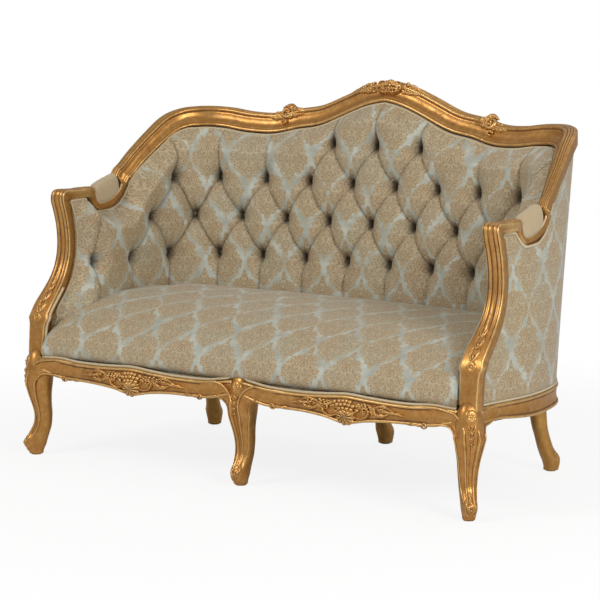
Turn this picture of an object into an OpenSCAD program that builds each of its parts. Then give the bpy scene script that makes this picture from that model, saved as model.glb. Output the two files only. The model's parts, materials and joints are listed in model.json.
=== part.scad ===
// Two-seat settee: carved, gilded show-wood frame, cabriole legs, buttoned back and tight sprung seat.
// Lengths in millimetres. +X is the viewer's right as seen from the front, +Y is the back, +Z is up.

/* [Overall] */
// Half of the width over the seat rails at their widest
shell_low_half_w = 760; // [700:5:820]
// Depth from the front leg line to the back seat rail's outer face
shell_low_depth = 672; // [620:4:720]
// How much nearer the middle each side stands at arm height than at the seat rails
side_lean = 32; // [20:2:44]
// How far the back of the crest leans behind the back seat rail
back_lean = 83; // [70:1:95]
// Height of the arms at the front
arm_h = 742; // [730:2:760]
// Height of the crest's middle over the arms
crest_over_arm = 306; // [280:2:330]
// Height of the flat top of the seat frame
frame_top_h = 272; // [262:2:282]
// Height of the underside of the seat frame
frame_low_h = 232; // [222:2:240]

/* [Legs] */
// Distance from a corner leg's post middle out to the widest part of the seat rails
leg_inset = 50; // [46:1:56]
// Side of a corner leg's square post
leg_post_w = 50; // [46:2:54]
// Width of the centre front leg's post
centre_post_w = 60; // [54:2:66]
// Greatest depth of a front leg at the knee
knee_depth = 78; // [70:2:84]
// Greatest width of a front leg at the knee
knee_w = 76; // [68:2:82]
// Greatest width of a rear leg
rear_leg_w = 52; // [46:2:58]
// How far a rear corner leg's foot kicks out from its top
rear_kick = 73; // [60:1:80]
// How far the centre rear leg's foot kicks back
centre_kick = 52; // [40:1:60]
// Radius of the flat sole under each foot
sole_r = 15; // [12:1:17]
// Height of the flat sole
sole_h = 3; // [2:0.5:4]

/* [Seat rails] */
// Thickness of the seat rails
rail_th = 38; // [32:2:42]
// How far the front rail's face stands before the leg posts
front_rail_proud = 10; // [6:1:12]
// How far the show wood's upper lip rises over the frame top
rail_lip_h = 14; // [10:1:16]
// Thickness of the upper lip
rail_lip_w = 15; // [12:1:18]
// Width of the front-to-back seat brace
brace_w = 45; // [35:5:60]
// Drop of the seat brace under the frame top
brace_drop = 6; // [4:1:10]

/* [Arm stumps and arm rails] */
// Half of the width of an arm stump where it is slimmest
stump_half_w = 24; // [22:1:26]
// Depth of an arm stump
stump_depth = 26; // [24:1:32]
// Distance from the stump's centre line out to the widest part of the seat rails
stump_inset = 41; // [37:1:45]
// Width of an arm rail
arm_rail_w = 42; // [38:1:46]
// Thickness of the arm rail's step
arm_step_h = 25; // [22:1:28]

/* [Crest and wings] */
// Width of the crest rail from back to front
crest_w = 62; // [56:1:66]
// Height of the crest rail's moulded face
crest_face_h = 56; // [50:1:60]

/* [Upholstery] */
// Depth of the buttons from the outer wall
wall_th = 93; // [88:1:98]
// Thickness of the outside panels
panel_th = 8; // [6:1:9]
// Setback of the outside panels from the show wood
panel_setback = 6; // [4:1:8]
// Height of the seat where it meets the back
seat_h = 444; // [432:4:456]
// Rise of the seat's crown at its middle
seat_crown = 8; // [4:1:12]
// Distance between buttons in a row, as a share of the padding's length from its middle to an arm's front
pitch_share = 0.1364; // [0.133:0.0005:0.139]
// Distance between rows of buttons
button_row_h = 110; // [106:1:114]
// Height of the lowest row of buttons over the seat
first_row_rise = 90; // [84:2:96]
// Radius of a covered button
button_r = 11; // [9:0.5:12]
// Height of a button's dome
button_dome_h = 6; // [4:0.5:7]
// How far the padding swells between the buttons
tuft_swell = 26; // [20:1:30]
// Width of the gimp braid
gimp_w = 6; // [5:0.5:8]
// Thickness of the gimp braid
gimp_th = 2.5; // [2:0.5:3]

/* [Springs and cloths] */
// Number of zig-zag springs
spring_count = 8; // [6:1:10]
// Thickness of the spring wire
spring_wire = 4; // [3:0.5:4.5]
// Width of a zig-zag spring
spring_w = 46; // [40:2:52]
// Length of one zig-zag
spring_step = 30; // [24:2:36]
// Thickness of the hessian
hessian_th = 1.5; // [1:0.5:2]
// Thickness of the dust cover
dust_th = 1; // [0.5:0.5:2]

/* [Hidden] */

// Height of the crest at the middle
crest_h = arm_h + crest_over_arm;
// Half of the width over the frame at arm height
shell_top_half_w = shell_low_half_w - side_lean;
// Depth from the front leg line to the back of the crest
shell_top_depth = shell_low_depth + back_lean;
// Distance from the middle to a front corner leg's post and to the stump's centre line
front_leg_x = shell_low_half_w - leg_inset;
stump_x = shell_low_half_w - stump_inset;
// Height of the lowest row of buttons
button_low_h = seat_h + first_row_rise;

// Colours
gold = [0.76, 0.56, 0.25];
dark_gold = [0.55, 0.36, 0.15];
cloth = [0.70, 0.66, 0.54];
pad_cloth = [0.74, 0.69, 0.57];
raw_wood = [0.80, 0.66, 0.46];
steel = [0.55, 0.56, 0.58];
jute = [0.62, 0.50, 0.33];
black_cloth = [0.12, 0.12, 0.13];

// Cuts run this far past the faces that they cut
overrun = 1;
// Smallest clearance between neighbouring pieces
clear = 0.3;

// Curve tools

function clamp01(v) = min(1, max(0, v));
function mix(a, b, k) = a + (b - a) * k;
function unit(v) = v / norm(v);
function bend(a, b, c, d, k) =
  0.5 * (2 * b + (c - a) * k + (2 * a - 5 * b + 4 * c - d) * k * k + (3 * b - a - 3 * c + d) * k * k * k);
// Point at share k of a smooth curve through evenly numbered points
function along(pts, k) =
  let (n = len(pts) - 1, i = min(floor(k * n), n - 1), f = k * n - i)
  bend(pts[max(i - 1, 0)], pts[i], pts[i + 1], pts[min(i + 2, n)], f);
function scaled(shares, w, h) = [for (s = shares) [s[0] * w, s[1] * h]];

// The wall that the arms and the back share. k runs from 0 at the middle of the back to 1 at the arm's front.

// Rail-level outline: share of half width, share of depth
low_plan_share = [
  [0, 1], [0.197, 0.997], [0.395, 0.985], [0.579, 0.957], [0.737, 0.899], [0.862, 0.804],
  [0.945, 0.670], [0.987, 0.513], [1, 0.350], [0.984, 0.193], [0.966, 0.054]
];
// Arm-level outline, likewise
top_plan_share = [
  [0, 1], [0.220, 0.997], [0.433, 0.985], [0.640, 0.948], [0.820, 0.906], [0.932, 0.806],
  [0.980, 0.650], [0.998, 0.494], [0.996, 0.380], [0.992, 0.264], [0.989, 0.143]
];
// Height of the top line over the arms, from the middle of the back to the dip, as shares of the crest's rise
crest_line_share = [
  1, 0.951, 0.840, 0.738, 0.695, 0.645, 0.648, 0.678, 0.690, 0.688, 0.668, 0.605, 0.460, 0.300, 0.147
];
// Share of the wall where the crest line's list ends
crest_line_end_share = 0.7;
// Share of the wall where the wing rail meets the arm rail
wing_end_share = 0.716;
// Share of the wall where the wing rail meets the crest rail, under the shoulder scroll
shoulder_share = 0.228;
// Share of the wall where the side rail meets the back rail, over the rear leg
rear_joint_share = 0.40;

low_plan = scaled(low_plan_share, shell_low_half_w, shell_low_depth);
top_plan = scaled(top_plan_share, shell_top_half_w, shell_top_depth);
crest_rise = crest_h - arm_h;
// Height at which the wall reaches its arm-level outline
plan_top_h = arm_h + 0.69 * crest_rise;

function flip(p, k) = k < 0 ? [-p[0], p[1], p[2]] : p;
function wall_raw(k, z) =
  let (
    f = min(1, (z - frame_top_h) / (plan_top_h - frame_top_h)),
    p = mix(along(low_plan, k), along(top_plan, k), f)
  )
  [p[0], p[1], z];
function wall_normal(k, z) =
  let (a = wall_raw(max(k - 0.004, 0), z), b = wall_raw(min(k + 0.004, 1), z), d = b - a)
  k < 0.004 ? [0, 1, 0] : unit([-d[1], d[0], 0]);
// Point of the wall at share k and height z, moved in from the outer face by depth
function wall(k, z, depth = 0) = flip(wall_raw(abs(k), z) - wall_normal(abs(k), z) * depth, k);

function crest_z(k) =
  arm_h + crest_rise * along(crest_line_share, min(abs(k), wing_end_share) / crest_line_end_share);
function crest_line_z(k) =
  abs(k) <= crest_line_end_share ? crest_z(k)
  : crest_z(crest_line_end_share)
    - (abs(k) - crest_line_end_share) / 0.016 * (crest_z(crest_line_end_share) - arm_h) * 0.52;
function crest_pt(k) = wall(k, crest_line_z(k));
// Direction of the top line, from the middle to the arm
function crest_dir(k) = unit(crest_pt(min(k + 0.006, wing_end_share)) - crest_pt(k - 0.006));
// Size of the moulding along the top line: full on the back, smaller on the wings
function face_share(k) = mix(1, 0.74, clamp01((abs(k) - 0.45) / 0.2));
function width_share(k) = mix(1, arm_rail_w / crest_w, clamp01((abs(k) - 0.5) / 0.2));

// Closed skin over rings of points; each ring runs anticlockwise as seen from the last ring
module skin(rings) {
  n = len(rings[0]);
  m = len(rings);
  polyhedron(
    points = [for (r = rings) each r],
    faces = concat(
      [[for (j = [0 : n - 1]) j]],
      [for (i = [0 : m - 2], j = [0 : n - 1]) [i * n + j, (i + 1) * n + j, (i + 1) * n + (j + 1) % n]],
      [for (i = [0 : m - 2], j = [0 : n - 1]) [i * n + j, (i + 1) * n + (j + 1) % n, i * n + (j + 1) % n]],
      [[for (j = [n - 1 : -1 : 0]) (m - 1) * n + j]]
    )
  );
}

// Top rails: crest, wings

// Section of the top rails, from the outer face inwards: share of the width, share of the face height
crest_section_share = [
  [0, -0.68], [0, -0.05], [-0.05, 0], [-0.45, 0], [-0.53, -0.09], [-0.73, -0.34], [-0.89, -0.64], [-1, -0.77],
  [-1, -0.91], [-0.87, -1], [-0.72, -0.89], [-0.25, -0.68]
];

function crest_ring(k, straight = 0) =
  let (
    p = crest_pt(k), d0 = crest_dir(k),
    out0 = unit([-d0[1], d0[0], 0]),
    out = unit(mix(out0, [1, 0, 0], straight)),
    d = unit(d0 - out * (d0 * out)),
    up = cross(d, out),
    w = crest_w * width_share(k), h = crest_face_h * face_share(k)
  )
  [for (s = crest_section_share) p + out * (s[0] * w) + up * (s[1] * h)];

module crest_rail() {
  color(gold)
    skin([for (i = [-22 : 22]) crest_ring(i / 22 * shoulder_share)]);
}

wing_steps = 30;
module wing_rail_right() {
  color(gold)
    skin([
      for (i = [0 : wing_steps])
        let (f = i / wing_steps)
        crest_ring(mix(shoulder_share, wing_end_share, f), clamp01((f - 0.85) / 0.15))
    ]);
}
module wing_rail_left() {
  mirror([1, 0, 0]) wing_rail_right();
}

// Arm rails: a step on the stump, then the dip for the pad, then the wing rail's lower end

arm_outer_x = shell_top_half_w + 4;
wing_end_ring = crest_ring(wing_end_share, 1);
wing_end_top = wing_end_ring[2];
wing_end_low = wing_end_ring[9];
// Lowest place of the dip before the wing's end, and the step's ends, along y
dip_before_wing = 83;
dip_low_y = wing_end_top[1] - dip_before_wing;
step_before_dip = 29;
step_back_y = dip_low_y - step_before_dip;
step_front_y = 101;
dip_h = 64;
// Upper line of the dip, from the step down and up to the wing: place along y, drop under the arm height
dip_upper = [
  [step_back_y, 2], [step_back_y + 1, 20], [step_back_y + 12, 41], [dip_low_y + 2, 46], [dip_low_y + 40, 39],
  [dip_low_y + 79, 19], [dip_low_y + 92, -3]
];
// Lower line, from the step's underside to the wing
dip_lower = [
  [step_back_y - 22, arm_step_h], [step_back_y - 11, arm_step_h + 14],
  [dip_low_y - 12, dip_h], [dip_low_y + 14, dip_h + 1],
  [dip_low_y + 49, dip_h - 4], [dip_low_y + 98, arm_step_h + 4]
];
function arm_rail_outline() =
  let (
    up = [for (i = [0 : 20]) let (q = along(dip_upper, i / 20)) [q[0], arm_h - q[1]]],
    low = [for (i = [20 : -1 : 0]) let (q = along(dip_lower, i / 20)) [q[0], arm_h - q[1]]]
  )
  concat(
    [[step_front_y + 8, arm_h - arm_step_h], [step_front_y, arm_h - arm_step_h * 0.6],
     [step_front_y, arm_h - arm_step_h * 0.3],
     [step_front_y + 8, arm_h]],
    up,
    [[wing_end_top[1], wing_end_top[2]], [wing_end_low[1], wing_end_low[2]]],
    low
  );

// Turns a drawing in the (y, z) plane into a slab between two x places
module side_slab(x_from, x_to) {
  translate([x_from, 0, 0])
    rotate([90, 0, 90])
      linear_extrude(height = x_to - x_from)
        children();
}

module arm_rail_right() {
  color(gold)
    side_slab(arm_outer_x - arm_rail_w, arm_outer_x)
      polygon(arm_rail_outline());
}
module arm_rail_left() {
  mirror([1, 0, 0]) arm_rail_right();
}

// Arm stumps

stump_top_h = arm_h - arm_step_h;
stump_rise = stump_top_h - frame_top_h;
// Front face of the stump from the frame to the arm: place along y as a share of the rise
stump_front_share = [
  -0.005, -0.002, 0.004, 0.012, 0.03, 0.082, 0.150, 0.212, 0.252, 0.275, 0.283, 0.280, 0.268, 0.248, 0.226
];
// Half width of the stump over the same height, as a share of the slimmest half width
stump_width_share = [1.08, 1.08, 1.1, 1.14, 1.4, 1.36, 1.2, 1.1, 1.04, 1.02, 1, 1, 1, 1.02, 1.06];
// Depth of the stump, as a share of its named depth
stump_depth_share = [1.3, 1.3, 1.3, 1.25, 1.1, 1, 0.95, 0.95, 0.95, 0.95, 0.95, 0.95, 0.95, 0.98, 1];

function stump_front(z) = stump_rise * along(stump_front_share, clamp01((z - frame_top_h) / stump_rise));
function stump_back(z) =
  stump_front(z)
  + stump_depth * along(stump_depth_share, clamp01((z - frame_top_h) / stump_rise)) * stump_slant(z);
// A slanted stump shows more depth along y
function stump_slant(z) =
  let (run = stump_front(min(z + 5, stump_top_h)) - stump_front(max(z - 5, frame_top_h)))
  sqrt(1 + pow(run / 10, 2));
function stump_ring(z) =
  let (
    f = clamp01((z - frame_top_h) / stump_rise),
    w = stump_half_w * along(stump_width_share, f), a = stump_front(z), b = stump_back(z), r = 0.3 * w
  )
  [
    [stump_x - w, b, z], [stump_x - w, a + r, z],
    [stump_x - w + 0.35 * r, a + 0.35 * r, z], [stump_x - w + r, a, z],
    [stump_x - 0.35 * w, a + 0.1 * r, z], [stump_x, a - 0.2 * r, z], [stump_x + 0.35 * w, a + 0.1 * r, z],
    [stump_x + w - r, a, z], [stump_x + w - 0.35 * r, a + 0.35 * r, z],
    [stump_x + w, a + r, z], [stump_x + w, b, z]
  ];

stump_steps = 28;
module arm_stump_right() {
  color(gold)
    difference() {
      skin([for (i = [0 : stump_steps]) stump_ring(mix(frame_top_h, stump_top_h, i / stump_steps))]);
      dowel_at([front_leg_x, post_mid_y, frame_top_h], [0, 0, 0], dowel_r, stump_dowel_len);
    }
}
module arm_stump_left() {
  mirror([1, 0, 0]) arm_stump_right();
}

// Seat rails

// Section of the side and back rails, from the outer face inwards: share of the thickness, share of the height
rail_section_share = [
  [-0.03, 0], [0, 0.18], [-0.1, 0.3], [-0.11, 0.6], [0, 0.74], [-0.015, 0.94], [-0.06, 1]
];
function rail_ring(k, low) =
  let (
    p = wall_raw(k, frame_top_h), out = wall_normal(k, frame_top_h),
    top = frame_top_h + rail_lip_h, h = top - low
  )
  concat(
    [for (s = rail_section_share) [p[0], p[1], low] + out * (s[0] * rail_th) + [0, 0, s[1] * h]],
    [[p[0], p[1], top] - out * rail_lip_w, [p[0], p[1], frame_top_h] - out * rail_lip_w,
     [p[0], p[1], frame_top_h] - out * rail_th, [p[0], p[1], low] - out * rail_th]
  );
// The side rail's lower edge rises beside the front leg
side_arch_share = [0, 0, 0, 0, 0, 0, 0.1, 0.5, 0.9, 0.6];
function side_low(f) = frame_low_h + rail_lip_h * along(side_arch_share, f);

leg_front_y = -10;
leg_back_y = leg_front_y + leg_post_w;
// Share of the wall at a place along y, on the rail's level
function low_k(y) = lookup(y, [for (i = [50 : -1 : 25]) [wall_raw(i / 50, frame_top_h)[1], i / 50]]);
side_rail_end = low_k(leg_back_y);
side_steps = 22;
module side_rail_right() {
  color(gold)
    difference() {
      skin([
        for (i = [0 : side_steps])
          rail_ring(mix(rear_joint_share, side_rail_end, i / side_steps), side_low(i / side_steps))
      ]);
      translate([0, leg_back_y - rail_th, frame_low_h - overrun])
        cube([shell_low_half_w + rail_th, rail_th, leg_post_w + rail_lip_h]);
      at_screw(2)
        pilot_hole();
    }
}
module side_rail_left() {
  mirror([1, 0, 0]) side_rail_right();
}

module back_rail() {
  color(dark_gold)
    difference() {
      skin([
        for (i = [-22 : 22])
          let (k = i / 22 * rear_joint_share, r = rail_ring(abs(k), frame_low_h))
          [for (p = r) flip(p, k)]
      ]);
      for (m = [0, 1])
        mirror([m, 0, 0])
          at_screw(1)
            pilot_hole();
    }
}

// Front rails, one span each side of the centre leg. The lists run from the centre leg to the corner leg.
span_from = centre_post_w / 2;
span_to = front_leg_x - leg_post_w / 2;
// Lower edge, as a share of the frame's height over its underside: arches by the legs, a dip under the shell
span_low_share = [0.32, -0.06, -0.12, -0.14, -0.28, -0.55, -0.28, -0.14, -0.08, -0.02, 0.36];
// Upper edge, as a share of the lip
span_high_share = [1.07, 0.4, 0.25, 0.3, 0.6, 1, 0.75, 0.55, 0.55, 0.9, 0.7];
// Bow of the face, as a share of its stand before the posts
span_bow_share = [0.6, 0.75, 0.85, 0.95, 1.1, 1.2, 1.1, 0.95, 0.85, 0.75, 0.6];
frame_deep = frame_top_h - frame_low_h;
function span_low(f) = frame_low_h + frame_deep * along(span_low_share, f);
function span_high(f) = frame_top_h + rail_lip_h * along(span_high_share, f);
function span_face(f) = leg_front_y - front_rail_proud * along(span_bow_share, f);
// The rail's ends lean in a little towards the top, so that its shoulders draw up tight
end_draft_share = 0.003;
function span_ring(f) =
  let (
    g = 1 - f, low = span_low(g), high = span_high(g), face = span_face(g), back = leg_front_y + rail_th,
    ring = concat(
      [for (s = rail_section_share) [face - s[0] * rail_th, mix(low, high, s[1])]],
      [[face + rail_lip_w, high], [face + rail_lip_w, frame_top_h], [back, frame_top_h],
       [back, max(low, frame_low_h)], [face + rail_lip_w, low + clear]]
    )
  )
  [for (p = ring)
    let (e = max(p[1] - frame_low_h, 0) * end_draft_share + p[0] * end_draft_share / 100)
    [mix(span_to - e, span_from + e, f), p[0], p[1]]];
span_steps = 26;
front_rail_back_y = leg_front_y + rail_th;
module front_rail_right() {
  color(gold)
    difference() {
      skin([for (i = [0 : span_steps]) span_ring(i / span_steps)]);
      for (x = [span_from, span_to])
        dowel_at([x, post_mid_y, dowel_z], [0, 90, 0], dowel_r, dowel_len);
      at_screw(0)
        screw_hole();
    }
}
module front_rail_left() {
  mirror([1, 0, 0]) front_rail_right();
}

// Legs. A leg's own axis u points outwards along its turn; rings are rounded squares.

// Heights of the rings, as shares of the frame's underside
leg_height_share = [0, 0.05, 0.11, 0.17, 0.26, 0.34, 0.43, 0.52, 0.62, 0.7, 0.78, 0.88, 1];
// Where each ring's middle lies outwards of the post, as a share of the knee depth
leg_sway_share = [0.18, 0.2, 0.2, 0.17, 0.03, -0.07, -0.11, -0.11, -0.06, -0.02, 0.01, 0.03, 0.02];
// Depth and width of each ring, as shares of the knee's depth and width
leg_depth_share = [0.5, 0.6, 0.76, 0.8, 0.68, 0.62, 0.6, 0.62, 0.68, 0.76, 0.84, 0.95, 1];
// The same lists for the plainer rear legs, which kick outwards from top to foot
rear_sway_share = [1, 1.02, 1, 0.93, 0.76, 0.66, 0.57, 0.48, 0.42, 0.38, 0.33, 0.18, 0];
rear_size_share = [0.74, 0.8, 0.9, 0.95, 0.82, 0.78, 0.76, 0.78, 0.82, 0.86, 0.92, 0.98, 1];
leg_width_share = [0.42, 0.46, 0.52, 0.54, 0.55, 0.57, 0.6, 0.64, 0.7, 0.77, 0.86, 0.95, 1];
ring_sides = 12;
function round_square(depth, width, p) =
  [for (j = [0 : ring_sides - 1])
    let (a = j * 360 / ring_sides, c = cos(a), s = sin(a), r = pow(pow(abs(c), p) + pow(abs(s), p), -1 / p))
    [depth / 2 * c * r, width / 2 * s * r]];
module cabriole(depths, widths, sways) {
  skin([
    for (i = [0 : len(leg_height_share) - 1])
      [for (q = round_square(depths[i], widths[i], 2.4))
        [q[0] + sways[i], q[1], sole_h + (leg_top_h - sole_h) * leg_height_share[i]]]
  ]);
  translate([sways[0], 0, 0])
    cylinder(r = sole_r, h = sole_h + overrun, $fn = 48);
}
module front_cabriole() {
  cabriole(knee_depth * leg_depth_share, knee_w * leg_width_share, knee_depth * leg_sway_share);
}
module rear_cabriole(kick) {
  cabriole(rear_leg_w * rear_size_share, rear_leg_w * rear_size_share, kick * rear_sway_share);
}

leg_top_h = frame_low_h;
// Where the knee's middle stands, seen from the post's middle, outwards
knee_out = 4;
// Dowels between the posts, rails and stumps
dowel_r = 5;
dowel_len = 44;
stump_dowel_len = 28;
dowel_z = (frame_low_h + frame_top_h) / 2;
post_mid_y = (leg_front_y + leg_back_y) / 2;

module dowel_at(p, turn, r, len) {
  translate(p)
    rotate(turn)
      cylinder(r = r, h = len, center = true, $fn = 24);
}

module front_leg_right() {
  color(gold)
    difference() {
      union() {
        translate([front_leg_x, post_mid_y, 0])
          rotate([0, 0, -45])
            translate([knee_out, 0, 0])
              front_cabriole();
        translate([front_leg_x - leg_post_w / 2, leg_front_y, leg_top_h])
          cube([leg_post_w, leg_post_w, frame_top_h - leg_top_h]);
      }
      dowel_at([front_leg_x - leg_post_w / 2, post_mid_y, dowel_z], [0, 90, 0], dowel_r, dowel_len);
      dowel_at([front_leg_x, post_mid_y, frame_top_h], [0, 0, 0], dowel_r, stump_dowel_len);
    }
}
module front_leg_left() {
  mirror([1, 0, 0]) front_leg_right();
}

centre_leg_y = leg_front_y + centre_post_w / 2;
module front_leg_centre() {
  color(gold)
    difference() {
      union() {
        translate([0, centre_leg_y, 0])
          rotate([0, 0, -90])
            front_cabriole();
        translate([-centre_post_w / 2, leg_front_y, leg_top_h])
          cube([centre_post_w, centre_post_w, frame_top_h - leg_top_h]);
      }
      for (s = [-1, 1])
        dowel_at([s * centre_post_w / 2, post_mid_y, dowel_z], [0, 90, 0], dowel_r, dowel_len);
    }
}

// A rear leg stands under the joint of the side rail and the back rail
rear_top = wall(rear_joint_share, frame_top_h, rail_th / 2);
// Turn of the rear corner legs' feet from straight back
rear_turn = 25;
module rear_leg_right() {
  color(dark_gold)
    translate([rear_top[0], rear_top[1], 0])
      rotate([0, 0, 90 - rear_turn])
        rear_cabriole(rear_kick);
}
module rear_leg_left() {
  mirror([1, 0, 0]) rear_leg_right();
}
module rear_leg_centre() {
  color(dark_gold)
    translate([0, shell_low_depth - rail_th / 2, 0])
      rotate([0, 0, 90])
        rear_cabriole(centre_kick);
}

// Padding of the back and the arms

// Padding starts this far over the frame, hidden behind the seat
pad_low_h = frame_top_h + 60;
// Height at which the buttons' spacing is measured along the padding
pad_ref_h = button_low_h + button_row_h;
// Depth of the padding's hidden face from the outer wall, on the back and on the arms
back_hollow = 50;
arm_hollow = 16;
// Setback of the padding's face from the wood's inner edge
pad_tuck = 4;
pad_steps = 60;
pad_arc = [
  for (
    i = 0, s = 0; i <= pad_steps;
    s = s + norm(wall((i + 1) / pad_steps, pad_ref_h, wall_th) - wall(i / pad_steps, pad_ref_h, wall_th)),
    i = i + 1
  )
  [s, i / pad_steps]
];
// Distance between buttons in a row
button_pitch = pitch_share * pad_arc[pad_steps][0];
function k_of_u(u) = sign(u) * lookup(abs(u), pad_arc);
function u_of_k(k) = sign(k) * lookup(abs(k), [for (a = pad_arc) [a[1], a[0]]]);

// Underside of the arm rail at a place along y
arm_under_list = concat(
  [[0, stump_top_h]], [for (q = dip_lower) [q[0], arm_h - q[1]]], [[wing_end_low[1], wing_end_low[2]]]
);
function arm_under(y) = lookup(y, arm_under_list);
// Slope of the top line: how much of a step along it is level
function level_part(k) = let (d = crest_dir(abs(k))) max(0.5, norm([d[0], d[1]]));
// Underside of the top rails over share k; part is the share of the face height that hangs there
function rail_under(k, part) =
  abs(k) < wing_end_share - 0.02
  ? crest_line_z(k) - part * crest_face_h * face_share(k) / level_part(k)
  : min([for (s = [-1 : 1]) arm_under(wall(abs(k), arm_h, arm_rail_w / 2)[1] + s * arm_rail_w / 2)]);
// Share of the wall at a place along y, at a height and a depth
function k_at(y, z, depth) = lookup(y, [for (i = [50 : -1 : 25]) [wall(i / 50, z, depth)[1], i / 50]]);
// Share of the wall where it meets the back of an arm stump
function k_front(z, depth) = k_at(stump_back(min(z, stump_top_h)) + clear, z, depth);
stump_back_most = max([for (i = [0 : 20]) stump_back(mix(frame_top_h, stump_top_h, i / 20))]);

// Swell of the padding between the pleats, from 0 on a pleat to 1. p counts buttons along a row, q counts rows.
first_gap = 2.5;
last_button = 6.5;
function puff(p, q) =
  let (
    a = abs(p), r = max(q, 0),
    crown_edge = 1 + (3 - min(max(r, 2), 3)) / 2,
    side_edge = 4.5 + (2 - min(r, 2)) / 2,
    c = min(r, a < crown_edge ? 3 : 2)
  )
  a > last_button ? 0.6 * sin(90 * clamp01((a - last_button) * 4))
  : a > side_edge ? abs(sin(180 * (a - side_edge) / (last_button - side_edge)))
  : r > 2 && a > crown_edge && a < first_gap ? abs(sin(180 * (a - crown_edge) / (first_gap - crown_edge)))
  : sqrt(abs(sin(180 * (a + c / 2 + 0.5)) * sin(180 * (a - c / 2 + 0.5))));

function pad_top(k) = rail_under(k, 1) - clear;
// Depth of the padding's face from the outer wall
top_draw = 60;
front_draw = 90;
function pad_depth(k, z) =
  let (
    u = u_of_k(abs(k)), edge = crest_w * width_share(k) - pad_tuck,
    rise = sin(90 * clamp01((pad_top(k) - z) / top_draw)),
    run = sin(90 * clamp01((u_of_k(k_front(z, wall_th / 2)) - u) / front_draw)),
    h = puff(u / button_pitch, (z - button_low_h) / button_row_h)
  )
  mix(edge, wall_th + tuft_swell * h, rise * run);
function pad_pt(k, z) = wall(k, z, pad_depth(k, z));
function pad_row(i) = i == 0 ? pad_low_h : button_low_h + (i - 5) * button_row_h / 4;
pad_rows = 30;
// Points up one column of the padding's face; rows keep their heights until the rail cuts them off
function pad_column(k) =
  let (top = pad_top(k), zs = [for (i = [0 : pad_rows]) if (pad_row(i) < top - 8) pad_row(i)])
  [for (z = concat(zs, [top])) pad_pt(k, z)];
function front_column() =
  let (top = stump_top_h - clear, zs = [for (i = [0 : pad_rows]) if (pad_row(i) < top - 8) pad_row(i)])
  [for (z = concat(zs, [top])) let (k = k_front(z, wall_th / 2)) wall(k, z, arm_rail_w * 1.2)];
function front_hidden() =
  [for (z = [pad_low_h, stump_top_h - clear])
    wall(k_at(stump_back_most + 3 * clear, z, arm_hollow), z, arm_hollow)];
function pad_hidden(k, depth) = [wall(k, pad_low_h, depth), wall(k, pad_top(k), depth)];

// Closed cushion: columns of face points, which may differ in length, over a plainer hidden face
module cushion(cols, backs) {
  n = len(cols);
  starts = [for (i = 0, s = 0; i <= n; s = s + (i < n ? len(cols[i]) : 0), i = i + 1) s];
  hid = starts[n];
  polyhedron(
    points = concat([for (c = cols) each c], [for (b = backs) each b]),
    faces = concat(
      [for (i = [0 : n - 2])
        let (a = starts[i], b = starts[i + 1], na = len(cols[i]), nb = len(cols[i + 1]), m = min(na, nb))
        each concat(
          [for (j = [0 : m - 2]) [a + j, a + j + 1, b + j + 1]],
          [for (j = [0 : m - 2]) [a + j, b + j + 1, b + j]],
          [for (j = [m - 1 : 1 : nb - 2]) [a + na - 1, b + j + 1, b + j]],
          [for (j = [m - 1 : 1 : na - 2]) [b + nb - 1, a + j, a + j + 1]],
          [[hid + 2 * i, hid + 2 * i + 2, hid + 2 * i + 3], [hid + 2 * i, hid + 2 * i + 3, hid + 2 * i + 1]],
          [[a, b, hid + 2 * i + 2], [a, hid + 2 * i + 2, hid + 2 * i]],
          [[a + na - 1, hid + 2 * i + 1, hid + 2 * i + 3], [a + na - 1, hid + 2 * i + 3, b + nb - 1]]
        )],
      [for (j = [0 : len(cols[0]) - 2]) [hid, j + 1, j]],
      [[hid, hid + 1, len(cols[0]) - 1]],
      [for (j = [0 : len(cols[n - 1]) - 2]) [hid + 2 * n - 2, starts[n - 1] + j, starts[n - 1] + j + 1]],
      [[hid + 2 * n - 2, starts[n - 1] + len(cols[n - 1]) - 1, hid + 2 * n - 1]]
    )
  );
}

// The back's padding ends a quarter pitch past the fourth button
back_cols = 17;
arm_cols = 26;
function col_k(i) = k_of_u(i * button_pitch / 4);
// The arm's first column stands a hair off the back's last one
function arm_col_k(i) = col_k(i) + (i == back_cols ? 0.0003 : 0);
module inside_back() {
  color(cloth)
    cushion(
      [for (i = [-back_cols : back_cols]) pad_column(col_k(i))],
      [for (i = [-back_cols : back_cols]) pad_hidden(col_k(i), back_hollow)]
    );
}
module inside_arm_right() {
  color(cloth)
    cushion(
      concat([for (i = [back_cols : arm_cols]) pad_column(arm_col_k(i))], [front_column()]),
      concat(
        [for (i = [back_cols : arm_cols]) pad_hidden(arm_col_k(i), i == back_cols ? back_hollow : arm_hollow)],
        [front_hidden()]
      )
    );
}
module inside_arm_left() {
  mirror([1, 0, 0]) inside_arm_right();
}

// Covered buttons, in four rows from the lowest up
button_rows = [
  [for (i = [-6.5 : 1 : 6.5]) i], [for (i = [-5 : 5]) i], [for (i = [-4.5 : 1 : 4.5]) i], [-1, 0, 1]
];
module boss(r, h) {
  rotate_extrude($fn = 32)
    polygon(concat([[0, 0], [r, 0]], [for (a = [18 : 18 : 90]) [r * cos(a), h * sin(a)]]));
}
module back_buttons() {
  color(cloth)
    for (row = [0 : 3], p = button_rows[row])
      let (
        z = button_low_h + row * button_row_h, k = k_of_u(p * button_pitch),
        d = pad_depth(k, z) + tuft_swell * 0.707 / (button_pitch / 4) * button_r + 3 * clear,
        q = wall(k, z, d), n = wall(k, z, d + 1) - q
      )
        translate(q)
          rotate([0, 90, atan2(n[1], n[0])])
            boss(button_r, button_dome_h);
}

// Seat

clip_wall = 1.5;
hessian_z = frame_top_h + spring_wire + clip_wall + clear;
cushion_z = hessian_z + hessian_th + clear;
seat_gap = 2;
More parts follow.
